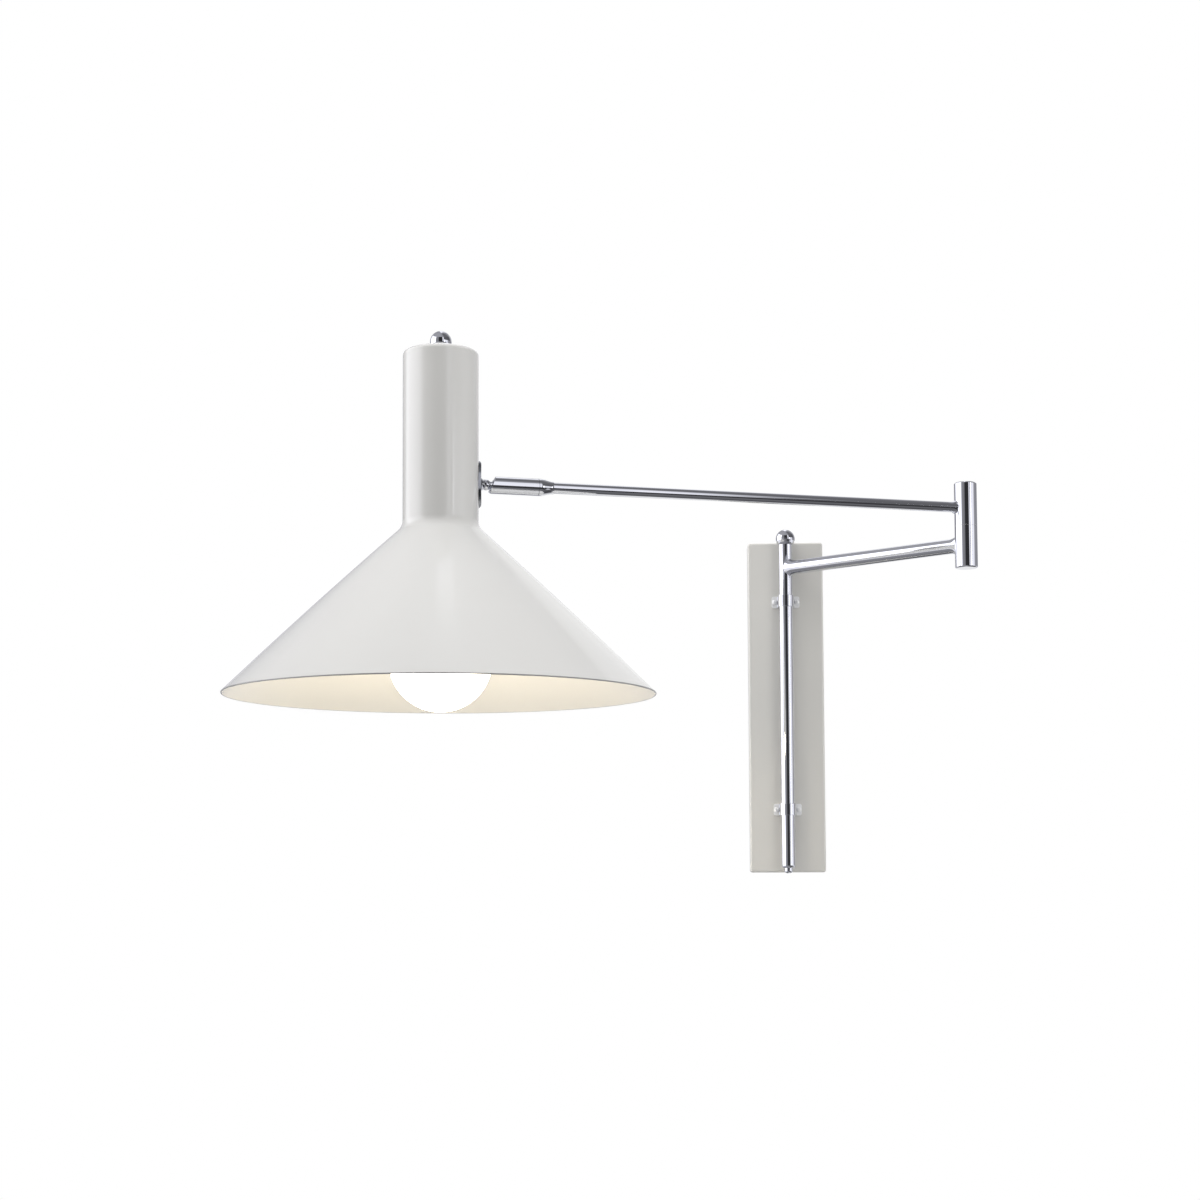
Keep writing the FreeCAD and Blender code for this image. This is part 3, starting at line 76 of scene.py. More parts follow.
POLE = joint_place("pole_swivel")
ELBOW = joint_place("elbow_swivel")
BALL = joint_place("shade_tilt")
SHADE = middle("shade")
UPPER_DIRECTION = Vector(JOINTS["barrel_roll"]["axis"]).normalized()
LOWER_DIRECTION = Vector((ELBOW.x - POLE.x, ELBOW.y - POLE.y, 0)).normalized()
LOWER_REACH = Vector((ELBOW.x - POLE.x, ELBOW.y - POLE.y)).length
BALL_DISTANCE = Vector((ELBOW.x - BALL.x, ELBOW.y - BALL.y)).length
LOWER_ARM_HEIGHT = middle("lower_arm").z
UPPER_ARM_HEIGHT = BALL.z

# --- sizes in millimetres and degrees, and the shares of a length that curves use -------------------------
TUBE_WALL = 1.2
EDGE = 0.25
EDGE_SHARE = 0.3
FINE_EDGE = 0.15
FILLET_SHARE = 0.45
CLEARANCE = 0.05
PLATE_WALL = 1.2
PLATE_CORNER = 2.5
PLATE_CORNER_LEAST = 0.6
PLATE_EDGE = 1.8
STRAP_THICKNESS = 1.0
STRAP_EAR_LENGTH = 3.4
STRAP_EAR_CORNER = 1.8
STRAP_BEND = 0.9
LOWER_ARM_RADIUS = 6.35
UPPER_ARM_RADIUS = 4.4
UPPER_ARM_WALL = 1.0
# The fillet at an arm's root has gone where the height above the arm's axis is ROOT_FADE of the radius.
# An arm's bore begins at CORE_REACH of the post's radius.
ROOT_RISE = 1.5
ROOT_LENGTH = 4.5
ROOT_FADE = 0.35
CORE_REACH = 0.9
FINIAL_RADIUS = 8.6
FINIAL_DROP = 5.3
FINIAL_SPIGOT = 8.0
FINIAL_HOLE = 7.0
SEAM_SKIRT = 0.22
CAP_CHAMFER = 0.9
CAP_CHAMFER_EDGE = 0.5
CAP_DOME = 0.35
CAP_THICKNESS = 1.6
WASHER_EDGE = 0.5
SHADE_WALL = 1.2
NECK_RADIUS = 29.9
NECK_SHOULDER = 3.5
CROWN_RISE = 2.0
CROWN_LAND = 10.0
CROWN_EDGE = 30.0
ROD_HOLE = 5.05
FLARE_RADIUS = 12.0
FLARE_DROP = 30.4
CONE_ANGLE = 46.5
CONE_BULGE_ANGLE = 1.2
FITTING_LENGTH = 12.3
FITTING_LAND = 1.2
FITTING_LIP = 0.5
FITTING_SOCKET = 8.0
BARREL_REAR = 32.6
BARREL_RADIUS = 6.85
SPIGOT_RADIUS = 4.5
SPIGOT_WALL = 1.9
SPIGOT_LENGTH = 12.6
PLUG_STUB_RADIUS = 3.8
PLUG_SHOULDER = 2.0
PLUG_DOME = 2.2
PLUG_SPIGOT = 7.0

# How finely the meshes are cut: counts round a circle, steps along a curve, and the longest straight run.
# Stations are shares of the length of an arm's root and of the body between its roots.
ARM_SEGMENTS = 64
SHADE_SEGMENTS = 192
BALL_STEPS = 28
TAPER_STEPS = 16
CAP_STEPS = 6
EAR_STEPS = 8
CONE_STEPS = 18
FLARE_STEPS = 12
LONGEST_RUN = 12.0
ROOT_STATIONS = (0, 0.12, 0.25, 0.4, 0.6, 0.8, 1.0)
BODY_STATIONS = (0.1, 0.3, 0.5, 0.7, 0.9)


# --- meshes --------------------------------------------------------------------------------------------
def arc(centre, radius, first, last, steps):
    """Points on an arc between two angles in degrees, both ends included."""
    points = []
    for k in range(steps + 1):
        angle = math.radians(first + (last - first) * k / steps)
        points.append((centre[0] + radius * math.cos(angle), centre[1] + radius * math.sin(angle)))
    return points


def softened(outline, closed=True, steps=4):
    """Round the corners that carry a third number, the radius of their fillet. Short sides shrink it."""
    points = []
    count = len(outline)
    for k, corner in enumerate(outline):
        here = Vector(corner[:2])
        inside = closed or 0 < k < count - 1
        if len(corner) < 3 or not inside:
            points.append(tuple(here))
            continue
        before = Vector(outline[k - 1][:2]) - here
        after = Vector(outline[(k + 1) % count][:2]) - here
        half = before.angle(after) / 2
        reach = min(corner[2] / math.tan(half), before.length * FILLET_SHARE, after.length * FILLET_SHARE)
        radius = reach * math.tan(half)
        start = here + before.normalized() * reach
        end = here + after.normalized() * reach
        centre = here + (before.normalized() + after.normalized()).normalized() * (radius / math.sin(half))
        for s in range(steps + 1):
            mix = s / steps
            direction = (start - centre).lerp(end - centre, mix)
            points.append(tuple(centre + direction.normalized() * radius))
    return points


def mesh_object(name, points, faces, sharp_angle=35.0):
    """A smooth-shaded mesh object from points in millimetres. Edges sharper than the angle stay sharp."""
    mesh = bpy.data.meshes.new(name)
    mesh.from_pydata([Vector(p) * MM for p in points], [], faces)
    mesh.validate()
    mesh.update()
    mesh.polygons.foreach_set("use_smooth", [True] * len(mesh.polygons))
    mesh.set_sharp_from_angle(angle=math.radians(sharp_angle))
    piece = bpy.data.objects.new(name, mesh)
    bpy.context.scene.collection.objects.link(piece)
    weighted = piece.modifiers.new("even_normals", "WEIGHTED_NORMAL")
    weighted.keep_sharp = True
    return piece


def turned(name, outline, place, segments=96, closed=True):
    """A mesh turned about the Z axis of its place from (radius, height) points, outline given clockwise."""
    rings = []
    points = []
    for radius, height in outline:
        if abs(radius) < 1e-6:
            rings.append([len(points)])
            points.append(place @ Vector((0, 0, height)))
            continue
        ring = []
        for k in range(segments):
            angle = 2 * math.pi * k / segments
            ring.append(len(points))
            points.append(place @ Vector((radius * math.cos(angle), radius * math.sin(angle), height)))
        rings.append(ring)
    faces = []
    pairs = len(rings) if closed else len(rings) - 1
    for k in range(pairs):
        faces += bridge(rings[k], rings[(k + 1) % len(rings)])
    return mesh_object(name, points, faces)


def bridge(low, high):
    """Faces between two rings of point numbers. Either ring can be a single point."""
    count = max(len(low), len(high))
    faces = []
    if len(low) == 1 and len(high) == 1:
        return faces
    for k in range(count):
        n = (k + 1) % count
        if len(low) == 1:
            faces.append((low[0], high[n], high[k]))
        elif len(high) == 1:
            faces.append((low[k], low[n], high[0]))
        else:
            faces.append((low[k], low[n], high[n], high[k]))
    return faces


def loft(name, rings, closed_first=True, closed_last=True):
    """A mesh through rings of points that all have the same count."""
    points = [p for ring in rings for p in ring]
    count = len(rings[0])
    numbers = [list(range(k * count, (k + 1) * count)) for k in range(len(rings))]
    faces = []
    for low, high in zip(numbers, numbers[1:]):
        faces += bridge(low, high)
    if closed_first:
        faces.append(tuple(reversed(numbers[0])))
    if closed_last:
        faces.append(tuple(numbers[-1]))
    return mesh_object(name, points, faces)


def standing(point, height=0.0):
    """A place with its Z axis up, at a point of the frame."""
    return Matrix.Translation((point.x, point.y, height))


def lying(point, direction, height):
    """A place with its Z axis along a level direction and its X axis up."""
    across = UP.cross(direction)
    turn = Matrix((UP, -across, direction)).transposed().to_4x4()
    return Matrix.Translation((point.x, point.y, height)) @ turn


def settle(piece, body, slot, material, *nodes):
    """Give a new piece its material and its body, and hide the CAD nodes that it stands for."""
    piece.data.materials.append(material)
    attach(piece, body)
    if nodes:
        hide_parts(*nodes)
    return piece


# --- materials -----------------------------------------------------------------------------------------
# Depths of the finest relief are in metres. An even pattern isn't stretched along any axis.
GRAIN_DEPTH = 0.00002
POLISH_DEPTH = 0.00001
NECK_GLOW = 0.35
EVEN = (1, 1, 1)


class Shader:
    """A material's node tree, with short calls for the nodes that these materials need."""

    def __init__(self, name, color, metallic=0.0, roughness=0.5, **sockets):
        self.material = bpy.data.materials.new(name)
        self.material.use_nodes = True
        self.tree = self.material.node_tree
        self.principled = self.tree.nodes["Principled BSDF"]
        self.set(Metallic=metallic, Roughness=roughness, **sockets)
        self.principled.inputs["Base Color"].default_value = (*color, 1.0)
        self.color = color
        self.coordinates = self.tree.nodes.new("ShaderNodeTexCoord").outputs["Object"]

    def set(self, **sockets):
        for name, value in sockets.items():
            self.principled.inputs[name.replace("_", " ")].default_value = value

    def node(self, kind, **values):
        made = self.tree.nodes.new(kind)
        for name, value in values.items():
            setattr(made, name, value)
        return made

    def link(self, start, end):
        self.tree.links.new(start, end)

    def stretched(self, scale):
        """Object coordinates with a scale for each axis."""
        mapping = self.node("ShaderNodeMapping")
        mapping.inputs["Scale"].default_value = scale
        self.link(self.coordinates, mapping.inputs["Vector"])
        return mapping.outputs["Vector"]

    def noise(self, scale, detail=3.0, roughness=0.5, stretch=EVEN):
        made = self.node("ShaderNodeTexNoise")
        made.inputs["Scale"].default_value = scale
        made.inputs["Detail"].default_value = detail
        made.inputs["Roughness"].default_value = roughness
        self.link(self.stretched(stretch), made.inputs["Vector"])
        return made.outputs["Fac"]

    def spread(self, value, low, high, start=0.3, end=0.7):
        """Map a noise value from its usual span to a span of another quantity."""
        made = self.node("ShaderNodeMapRange")
        made.inputs["From Min"].default_value = start
        made.inputs["From Max"].default_value = end
        made.inputs["To Min"].default_value = low
        made.inputs["To Max"].default_value = high
        self.link(value, made.inputs["Value"])
        return made.outputs["Result"]

    def tint(self, value, other, amount=1.0):
        """Mix the base colour with another where the value is high."""
        made = self.node("ShaderNodeMix", data_type="RGBA")
        made.inputs["A"].default_value = (*self.color, 1.0)
        made.inputs["B"].default_value = (*other, 1.0)
        self.link(self.spread(value, 0.0, amount), made.inputs["Factor"])
        self.link(made.outputs["Result"], self.principled.inputs["Base Color"])
        return made

    def rough(self, value, low, high):
        self.link(self.spread(value, low, high), self.principled.inputs["Roughness"])

    def bump(self, value, distance, strength=1.0):
        made = self.node("ShaderNodeBump")
        made.inputs["Distance"].default_value = distance
        made.inputs["Strength"].default_value = strength
        self.link(value, made.inputs["Height"])
        self.link(made.outputs["Normal"], self.principled.inputs["Normal"])


def shaded(color, factor):
    return tuple(min(c * factor, 1.0) for c in color)


def paint(name, color, gloss=0.22, coat=0.25, coat_roughness=0.08):
    """Sprayed semi-gloss paint: a fine orange peel, slight cloudiness and a clear top."""
    made = Shader(name, color, roughness=gloss, Coat_Weight=coat, Coat_Roughness=coat_roughness)
    made.tint(made.noise(14.0, 3.0), shaded(color, 0.985))
    made.rough(made.noise(450.0, 2.0), gloss * 0.9, gloss * 1.12)
    made.bump(made.noise(900.0, 2.0), GRAIN_DEPTH, 0.05)
    return made.material


def chrome(name, stretch=EVEN):
    """Polished plating: near-mirror, with hairline rubbing marks and faint hazy patches."""
    made = Shader(name, (0.86, 0.87, 0.89), metallic=1.0, roughness=0.05)
    made.tint(made.noise(40.0, 3.0), (0.80, 0.81, 0.84))
    made.rough(made.noise(320.0, 3.0, 0.6, stretch), 0.035, 0.06)
    made.bump(made.noise(200.0, 2.0, 0.5, stretch), POLISH_DEPTH, 0.01)
    return made.material


def metal(name, color, roughness, stretch=EVEN, grain=900.0, metallic=1.0):
    """Plated or turned metal with a brushed grain. A lower metallic value gives a milky satin."""
    made = Shader(name, color, metallic=metallic, roughness=roughness)
    made.tint(made.noise(60.0, 4.0), shaded(color, 0.92))
    made.rough(made.noise(grain, 4.0, 0.6, stretch), roughness * 0.85, roughness * 1.2)
    made.bump(made.noise(grain, 3.0, 0.6, stretch), GRAIN_DEPTH, 0.15)
    return made.material


def moulded(name, color, roughness):
    """Moulded plastic or glazed ceramic with a fine skin."""
    made = Shader(name, color, roughness=roughness, IOR=1.48)
    made.tint(made.noise(70.0, 3.0), shaded(color, 0.93))
    made.rough(made.noise(400.0, 3.0), roughness * 0.85, roughness * 1.2)
    made.bump(made.noise(1400.0, 2.0), GRAIN_DEPTH, 0.3)
    return made.material


def opal_glass(name, glow, strength):
    """Lit opal glass: brightest over the globe and dimmer towards its neck, by the height in metres."""
    made = Shader(name, (0.93, 0.92, 0.90), roughness=0.18, Coat_Weight=0.4, Coat_Roughness=0.05)
    made.principled.inputs["Emission Color"].default_value = (*glow, 1.0)
    split = made.node("ShaderNodeSeparateXYZ")
    made.link(made.coordinates, split.inputs["Vector"])
    fade = made.spread(split.outputs["Z"], strength, strength * NECK_GLOW, start=0.035, end=0.08)
    made.link(fade, made.principled.inputs["Emission Strength"])
    made.rough(made.noise(50.0, 3.0), 0.14, 0.24)
    return made.material


PLATE_PAINT = paint("plate_paint", (0.685, 0.675, 0.645), 0.34)
SHADE_PAINT = paint("shade_paint", (0.665, 0.66, 0.645), 0.22, 0.75, 0.06)
# Inside of the shade: a lighter, warmer copy of the shade's paint, painted light from the bulb on top of its real
# glow.
SHADE_INSIDE_PAINTED_LIGHT = paint("shade_inside_painted_light", (0.80, 0.776, 0.725), 0.38)
# Rim bead: dark grey as a painted shadow along the sheet's edge.
RIM_PAINTED_SHADOW = paint("rim_painted_shadow", (0.30, 0.30, 0.30), 0.30)
CHROME = chrome("chrome")
CHROME_POLE = chrome("chrome_upright", (1, 1, 0.04))
CHROME_ARM = chrome("chrome_level", (0.08, 0.2, 1))
# Strap ears and clip screws: satin plating made near-white and barely metallic, a painted sheen for their bright
# reflection.
SATIN_PAINTED_SHEEN = metal("satin_painted_sheen", (0.96, 0.965, 0.975), 0.38, EVEN, 1200.0, 0.15)
DARK_CHROME = metal("dark_chrome", (0.36, 0.37, 0.39), 0.14, EVEN, 1200.0)
STEEL = metal("plated_steel", (0.62, 0.63, 0.64), 0.32, (1, 1, 0.3), 700.0)
BRASS = metal("brass", (0.75, 0.55, 0.25), 0.25)
NYLON = moulded("nylon", (0.80, 0.79, 0.74), 0.45)
HOLDER = moulded("holder_plastic", (0.78, 0.77, 0.73), 0.25)
CERAMIC = moulded("ceramic", (0.86, 0.85, 0.82), 0.15)
OPAL = opal_glass("opal_glass", (1.0, 0.905, 0.73), 10.5)
SLOT_MATERIALS = {
    "plate_paint": PLATE_PAINT,
    "shade_paint": SHADE_PAINT,
    "chrome": CHROME,
    "plated_steel": STEEL,
    "brass": BRASS,
    "nylon": NYLON,
    "holder_plastic": HOLDER,
    "ceramic": CERAMIC,
    "opal_glass": OPAL,
}
NODE_MATERIALS = {"escutcheon": DARK_CHROME, "clip_screws": SATIN_PAINTED_SHEEN}


def dress_cad_nodes():
    """Every CAD node takes its own material if it has one here, or that of its slot in the record."""
    for part in frame["record"]["subparts"]:
        node = frame["nodes"][part["node"]]
        node.data.materials.clear()
        node.data.materials.append(NODE_MATERIALS.get(part["node"], SLOT_MATERIALS[part["material_slot"]]))


# --- wall plate ----------------------------------------------------------------------------------------
def rounded_ring(half_x, half_z, corner, y, steps=6):
    """Points of an upright rounded rectangle at depth y."""
    ring = []
    centres = ((half_x - corner, half_z - corner, 0), (corner - half_x, half_z - corner, 90),
               (corner - half_x, corner - half_z, 180), (half_x - corner, corner - half_z, 270))
    for x, z, start in centres:
        for px, pz in arc((x, z), corner, start, start + 90, steps):
            ring.append(Vector((px, y, pz)))
    return ring


def cover_plate():
    """Painted tray with soft front edges, open to the wall."""
    low, high = span("cover_plate")
    half_x, half_z, front = high.x, high.z, low.y
    rings = [rounded_ring(half_x - EDGE, half_z - EDGE, PLATE_CORNER - EDGE, 0)]
    rings.append(rounded_ring(half_x, half_z, PLATE_CORNER, -EDGE))
    for x, y in arc((-PLATE_EDGE, front + PLATE_EDGE), PLATE_EDGE, 0, -90, steps=8):
        rings.append(rounded_ring(half_x + x, half_z + x, max(PLATE_CORNER + x, PLATE_CORNER_LEAST), y))
    rings.reverse()
    inner_x, inner_z = half_x - PLATE_WALL, half_z - PLATE_WALL
    inside = [rounded_ring(inner_x, inner_z, PLATE_CORNER - PLATE_WALL, y) for y in (0, front + PLATE_WALL)]
    piece = loft("cover_shell", rings + inside)
    return settle(piece, "wall_bracket", "plate_paint", PLATE_PAINT, "cover_plate")


def ear_rounding(from_tip):
    """How far an ear's rounded corner lowers its edge, at this distance from the ear's tip."""
    reach = STRAP_EAR_CORNER - from_tip
    if reach <= 0:
        return 0.0
    return STRAP_EAR_CORNER - math.sqrt(max(STRAP_EAR_CORNER ** 2 - reach ** 2, 0.01))


def strap_clip(node):
    """Pressed strap: two ears flat on the plate in a near-white painted sheen, two legs and a half round over the
    pole.
    """
    low, high = span(node)
    height = (low.z + high.z) / 2
    half_height = (high.z - low.z) / 2
    half = STRAP_THICKNESS / 2
    back = high.y - half
    inner = POLE.y - low.y - half
    tip = high.x
    bend = STRAP_BEND
    route = [(tip, back)]
    for k in range(1, EAR_STEPS + 1):
        route.append((tip - STRAP_EAR_LENGTH * k / EAR_STEPS, back))
    route += arc((inner + bend, back - bend), bend, 90, 180, steps=4)
    route += arc((0, POLE.y), inner, 0, -90, steps=16)
    route += [(-x, y) for x, y in reversed(route[:-1])]
    rings = []
    for k, (x, y) in enumerate(route):
        ahead = Vector(route[min(k + 1, len(route) - 1)])
        behind = Vector(route[max(k - 1, 0)])
        along = (ahead - behind).normalized()
        normal = Vector((-along.y, along.x))
        tall = half_height - ear_rounding(tip - abs(x))
        corners = [(-half, -tall, EDGE), (half, -tall, EDGE), (half, tall, EDGE), (-half, tall, EDGE)]
        section = softened(corners, steps=2)
        rings.append([Vector((x + normal.x * s, y + normal.y * s, height + z)) for s, z in section])
    piece = loft(node + "_strap", rings)
    settle(piece, "wall_bracket", "chrome", CHROME, node)
    piece.data.materials.append(SATIN_PAINTED_SHEEN)
    # The ears' faces take the painted sheen.
    for face in piece.data.polygons:
        if abs(face.center.x) / MM > inner + bend:
            face.material_index = 1
    return piece


# --- turned chrome -------------------------------------------------------------------------------------
def finial_outline(spigot, depth):
    """Ball knob cut flat below, at height 0. A negative depth gives it a spigot and a positive one a hole."""
    start = math.degrees(math.asin(-FINIAL_DROP / FINIAL_RADIUS))
    ball = arc((0, FINIAL_DROP), FINIAL_RADIUS, start, 90, BALL_STEPS)
    ball[-1] = (0, FINIAL_DROP + FINIAL_RADIUS)
    base = ball[0]
    lip = [(base[0] - EDGE, 0), (base[0] - EDGE * EDGE_SHARE, EDGE * EDGE_SHARE)]
    return [(0, depth), (spigot, depth), (spigot, 0)] + lip + ball[1:]


def pole_pieces():
    """Pole with its ball finial above and its domed plug below."""
    low, high = span("pole_tube")
    radius = half_width("pole_tube")
    bore = radius - TUBE_WALL
    outline = softened([(bore, low.z), (radius, low.z, EDGE), (radius, high.z, EDGE), (bore, high.z)])
    pole = turned("pole", outline, standing(POLE))
    settle(pole, "lower_arm_body", "chrome", CHROME_POLE, "pole_tube")
    finial = turned("pole_ball", finial_outline(bore - FINE_EDGE, -FINIAL_SPIGOT), standing(POLE, high.z))
    settle(finial, "lower_arm_body", "chrome", CHROME, "pole_finial")
    foot = span("pole_end_plug")[0].z
    top = low.z + PLUG_SPIGOT
    spread = radius - PLUG_STUB_RADIUS
    dome = []
    shoulder = []
    for degrees in range(0, 91, 10):
        side, fall = math.sin(math.radians(degrees)), math.cos(math.radians(degrees))
        dome.append((PLUG_STUB_RADIUS * side, foot + PLUG_DOME * (1 - fall)))
        shoulder.append((PLUG_STUB_RADIUS + spread * side, low.z - PLUG_SHOULDER * fall))
    spigot = [(bore - FINE_EDGE, low.z), (bore - FINE_EDGE, top), (0, top)]
    plug = turned("pole_plug", (dome + shoulder + spigot)[::-1], standing(POLE))
    settle(plug, "lower_arm_body", "chrome", CHROME, "pole_end_plug")


def cap_outline(radius, spigot_radius, spigot):
    """End cap seen with its outer face down: a shallow dome, a soft chamfer and a spigot."""
    flat = radius - CAP_CHAMFER
    top = CAP_THICKNESS + spigot
    face = [(flat * k / CAP_STEPS, CAP_DOME * (k / CAP_STEPS) ** 2) for k in range(CAP_STEPS)]
    corner = [(flat, CAP_DOME, CAP_CHAMFER_EDGE), (radius, CAP_DOME + CAP_CHAMFER, CAP_CHAMFER_EDGE)]
    corner.append((radius, CAP_THICKNESS))
    rest = [(spigot_radius, CAP_THICKNESS), (spigot_radius, top), (0, top)]
    return softened(face + corner + rest)


def elbow_pieces():
    """The elbow's two sleeves, each with a thin skirt that hides part of the seam, and two end caps."""
    for side, body in (("lower", "lower_arm_body"), ("upper", "upper_arm_body")):
        node = "elbow_%s_sleeve" % side
        low, high = span(node)
        cap_low, cap_high = span("elbow_%s_cap" % side)
        radius = half_width("elbow_%s_cap" % side)
        bore = half_width("elbow_%s_hub" % side)
        flip = 1 if side == "lower" else -1
        seam, end = (high.z, low.z) if side == "lower" else (low.z, high.z)
        skirt = seam + flip * SEAM_SKIRT
        lip = radius - SEAM_SKIRT
        outline = [(bore, end), (radius, end), (radius, skirt), (lip, skirt), (lip, seam), (bore, seam)]
        sleeve = turned("elbow_%s_half" % side, outline[::flip], standing(ELBOW))
        settle(sleeve, body, "chrome", CHROME_POLE, node)
        spigot = cap_high.z - cap_low.z - CAP_THICKNESS
        outer = cap_low.z if side == "lower" else cap_high.z
        place = standing(ELBOW, outer) @ Matrix.Rotation(0 if flip > 0 else math.pi, 4, "X")
        cap = turned("elbow_%s_end" % side, cap_outline(radius, bore - FINE_EDGE, spigot)[::-1], place)
        settle(cap, body, "chrome", CHROME, "elbow_%s_cap" % side)


def plain_ring(place, radius, along):
    """A round ring of points across an arm."""
    ring = []
    for k in range(ARM_SEGMENTS):
        angle = 2 * math.pi * k / ARM_SEGMENTS
        ring.append(place @ Vector((radius * math.cos(angle), radius * math.sin(angle), along)))
    return ring


def coped_ring(place, radius, post, share, far_post=None):
    """A ring at an arm's root: share 0 is on the post's surface, and share 1 is where the root ends.

    A brazed fillet rises above and below the arm and fades out towards its sides and along the root. At the
    arm's other end, far_post is the distance of that post, and the ring is measured back from it.
    """
    ring = []
    for k in range(ARM_SEGMENTS):
        angle = 2 * math.pi * k / ARM_SEGMENTS
        up, across = math.cos(angle), math.sin(angle)
        fade = max(abs(up) - ROOT_FADE, 0) / (1 - ROOT_FADE)
        reach = radius + ROOT_RISE * (1 - share) ** 2 * fade
        root = math.sqrt(max(post ** 2 - (across * reach) ** 2, 0))
        along = root + (post + ROOT_LENGTH - root) * share
        if far_post is not None:
            along = far_post - along
        ring.append(place @ Vector((up * reach, across * reach, along)))
    return ring


def arm_tube(name, place, radius, wall, start_post, end, end_post=0.0):
    """A tube along its place's Z axis, coped round a post at its start, and at its end if end_post is given.

    A post is given by the radius of the upright cylinder there.
    """
    first = start_post + ROOT_LENGTH
    last = end - end_post - ROOT_LENGTH
    rings = [coped_ring(place, radius, start_post, share) for share in ROOT_STATIONS]
    rings += [plain_ring(place, radius, first + (last - first) * share) for share in BODY_STATIONS]
    if end_post:
        rings += [coped_ring(place, radius, end_post, share, end) for share in reversed(ROOT_STATIONS)]
    else:
        rings.append(plain_ring(place, radius, end))
    rings.append(plain_ring(place, radius - wall, end - end_post * CORE_REACH))
    rings.append(plain_ring(place, radius - wall, start_post * CORE_REACH))
    return loft(name, rings + [rings[0]], False, False)


def arms():
    """The lower arm between the pole and the elbow, and the upper arm from the elbow to its end fitting."""
    pole = half_width("pole_tube")
    elbow = half_width("elbow_lower_cap")
    place = lying(POLE, LOWER_DIRECTION, LOWER_ARM_HEIGHT)
    lower = arm_tube("lower_arm_tube", place, LOWER_ARM_RADIUS, TUBE_WALL, pole, LOWER_REACH, elbow)
    settle(lower, "lower_arm_body", "chrome", CHROME_ARM, "lower_arm")
    place = lying(ELBOW, UPPER_DIRECTION, UPPER_ARM_HEIGHT)
    end = BALL_DISTANCE - BARREL_REAR - FITTING_LENGTH + FITTING_SOCKET / 2
    upper = arm_tube("upper_arm_tube", place, UPPER_ARM_RADIUS, UPPER_ARM_WALL, elbow, end)
    settle(upper, "upper_arm_body", "chrome", CHROME_ARM, "upper_arm")


def end_fitting():
    """Fitting that swells from the upper arm to the barrel, with the spigot that the barrel turns on."""
    place = lying(BALL, -UPPER_DIRECTION, UPPER_ARM_HEIGHT)
    rear = BARREL_REAR
    start = rear + FITTING_LENGTH
    socket = UPPER_ARM_RADIUS + CLEARANCE
    lip = socket + FITTING_LIP
    hole = SPIGOT_RADIUS - SPIGOT_WALL
    bottom = start - FITTING_SOCKET
    outline = [(socket, start)]
    for k in range(TAPER_STEPS + 1):
        swell = (1 - math.cos(math.pi * k / TAPER_STEPS)) / 2
        height = start - (FITTING_LENGTH - FITTING_LAND) * k / TAPER_STEPS
        outline.append((lip + (BARREL_RADIUS - lip) * swell, height))
    outline += [(BARREL_RADIUS, rear), (SPIGOT_RADIUS, rear), (SPIGOT_RADIUS, rear - SPIGOT_LENGTH),
                (hole, rear - SPIGOT_LENGTH), (hole, bottom), (socket, bottom)]
    piece = turned("arm_taper", outline[::-1], place, ARM_SEGMENTS)
    return settle(piece, "upper_arm_body", "chrome", CHROME_ARM, "arm_end_fitting")


# --- shade ---------------------------------------------------------------------------------------------
def arc_through(start, middle, end, steps):
    """Points on the arc from start through middle to end, without the start."""
    a, b, c = Vector(start), Vector(middle), Vector(end)
    side = b - a
    across = c - a
    twice = 2 * (side.x * across.y - side.y * across.x)
    centre = a + Vector((across.y * side.length_squared - side.y * across.length_squared,
                         side.x * across.length_squared - across.x * side.length_squared)) / twice
    first = a - centre
    sweep = first.angle_signed(c - centre)
    points = []
    for k in range(1, steps + 1):
        turn = Matrix.Rotation(-sweep * k / steps, 2)
        points.append(tuple(centre + turn @ first))
    return points


def shade_side(inset):
    """The shade's wall from rim to crown, this far inside its outer face: cone, flare, neck and shoulder."""
    slope = math.radians(CONE_ANGLE)
    rim_angle = math.radians(CONE_ANGLE - CONE_BULGE_ANGLE)
    top_angle = math.radians(CONE_ANGLE + CONE_BULGE_ANGLE)
    flare_height = UPPER_ARM_HEIGHT - FLARE_DROP
    rim_radius = half_width("shade")
    cone_top = NECK_RADIUS + FLARE_RADIUS * (1 - math.cos(top_angle))
    fall = (rim_radius - cone_top) / math.tan(slope)
    rim_height = flare_height - FLARE_RADIUS * math.sin(top_angle) - fall
    rim = Vector((rim_radius - inset * math.cos(rim_angle), rim_height - inset * math.sin(rim_angle)))
    flare = FLARE_RADIUS + inset
    centre = Vector((NECK_RADIUS + FLARE_RADIUS, flare_height))
    on_cone = centre - Vector((math.cos(top_angle), math.sin(top_angle))) * flare
    rise = (on_cone - rim).length / 2 * math.tan(math.radians(CONE_BULGE_ANGLE / 2))
    middle_of_cone = (rim + on_cone) / 2 + Vector((math.cos(slope), math.sin(slope))) * rise
    middle_of_flare = centre - Vector((math.cos(top_angle / 2), math.sin(top_angle / 2))) * flare
    on_neck = (NECK_RADIUS - inset, flare_height)
    crown = span("shade")[1].z - inset
    shoulder = NECK_SHOULDER - inset
    side = [tuple(rim)] + arc_through(rim, middle_of_cone, on_cone, CONE_STEPS)
    side += arc_through(on_cone, middle_of_flare, on_neck, FLARE_STEPS)
    neck = [on_neck, (on_neck[0], crown - CROWN_RISE, shoulder)]
    neck += [(CROWN_LAND, crown, CROWN_EDGE), (ROD_HOLE, crown)]
    return side[:-1] + softened(neck, closed=False, steps=10)


def cut_finely(points, length):
    """The same line with its long straight runs divided, for even faces."""
    finer = [points[0]]
    for start, end in zip(points, points[1:]):
        run = Vector(end) - Vector(start)
        count = max(1, int(run.length // length))
        for k in range(1, count + 1):
            finer.append(tuple(Vector(start) + run * (k / count)))
    return finer


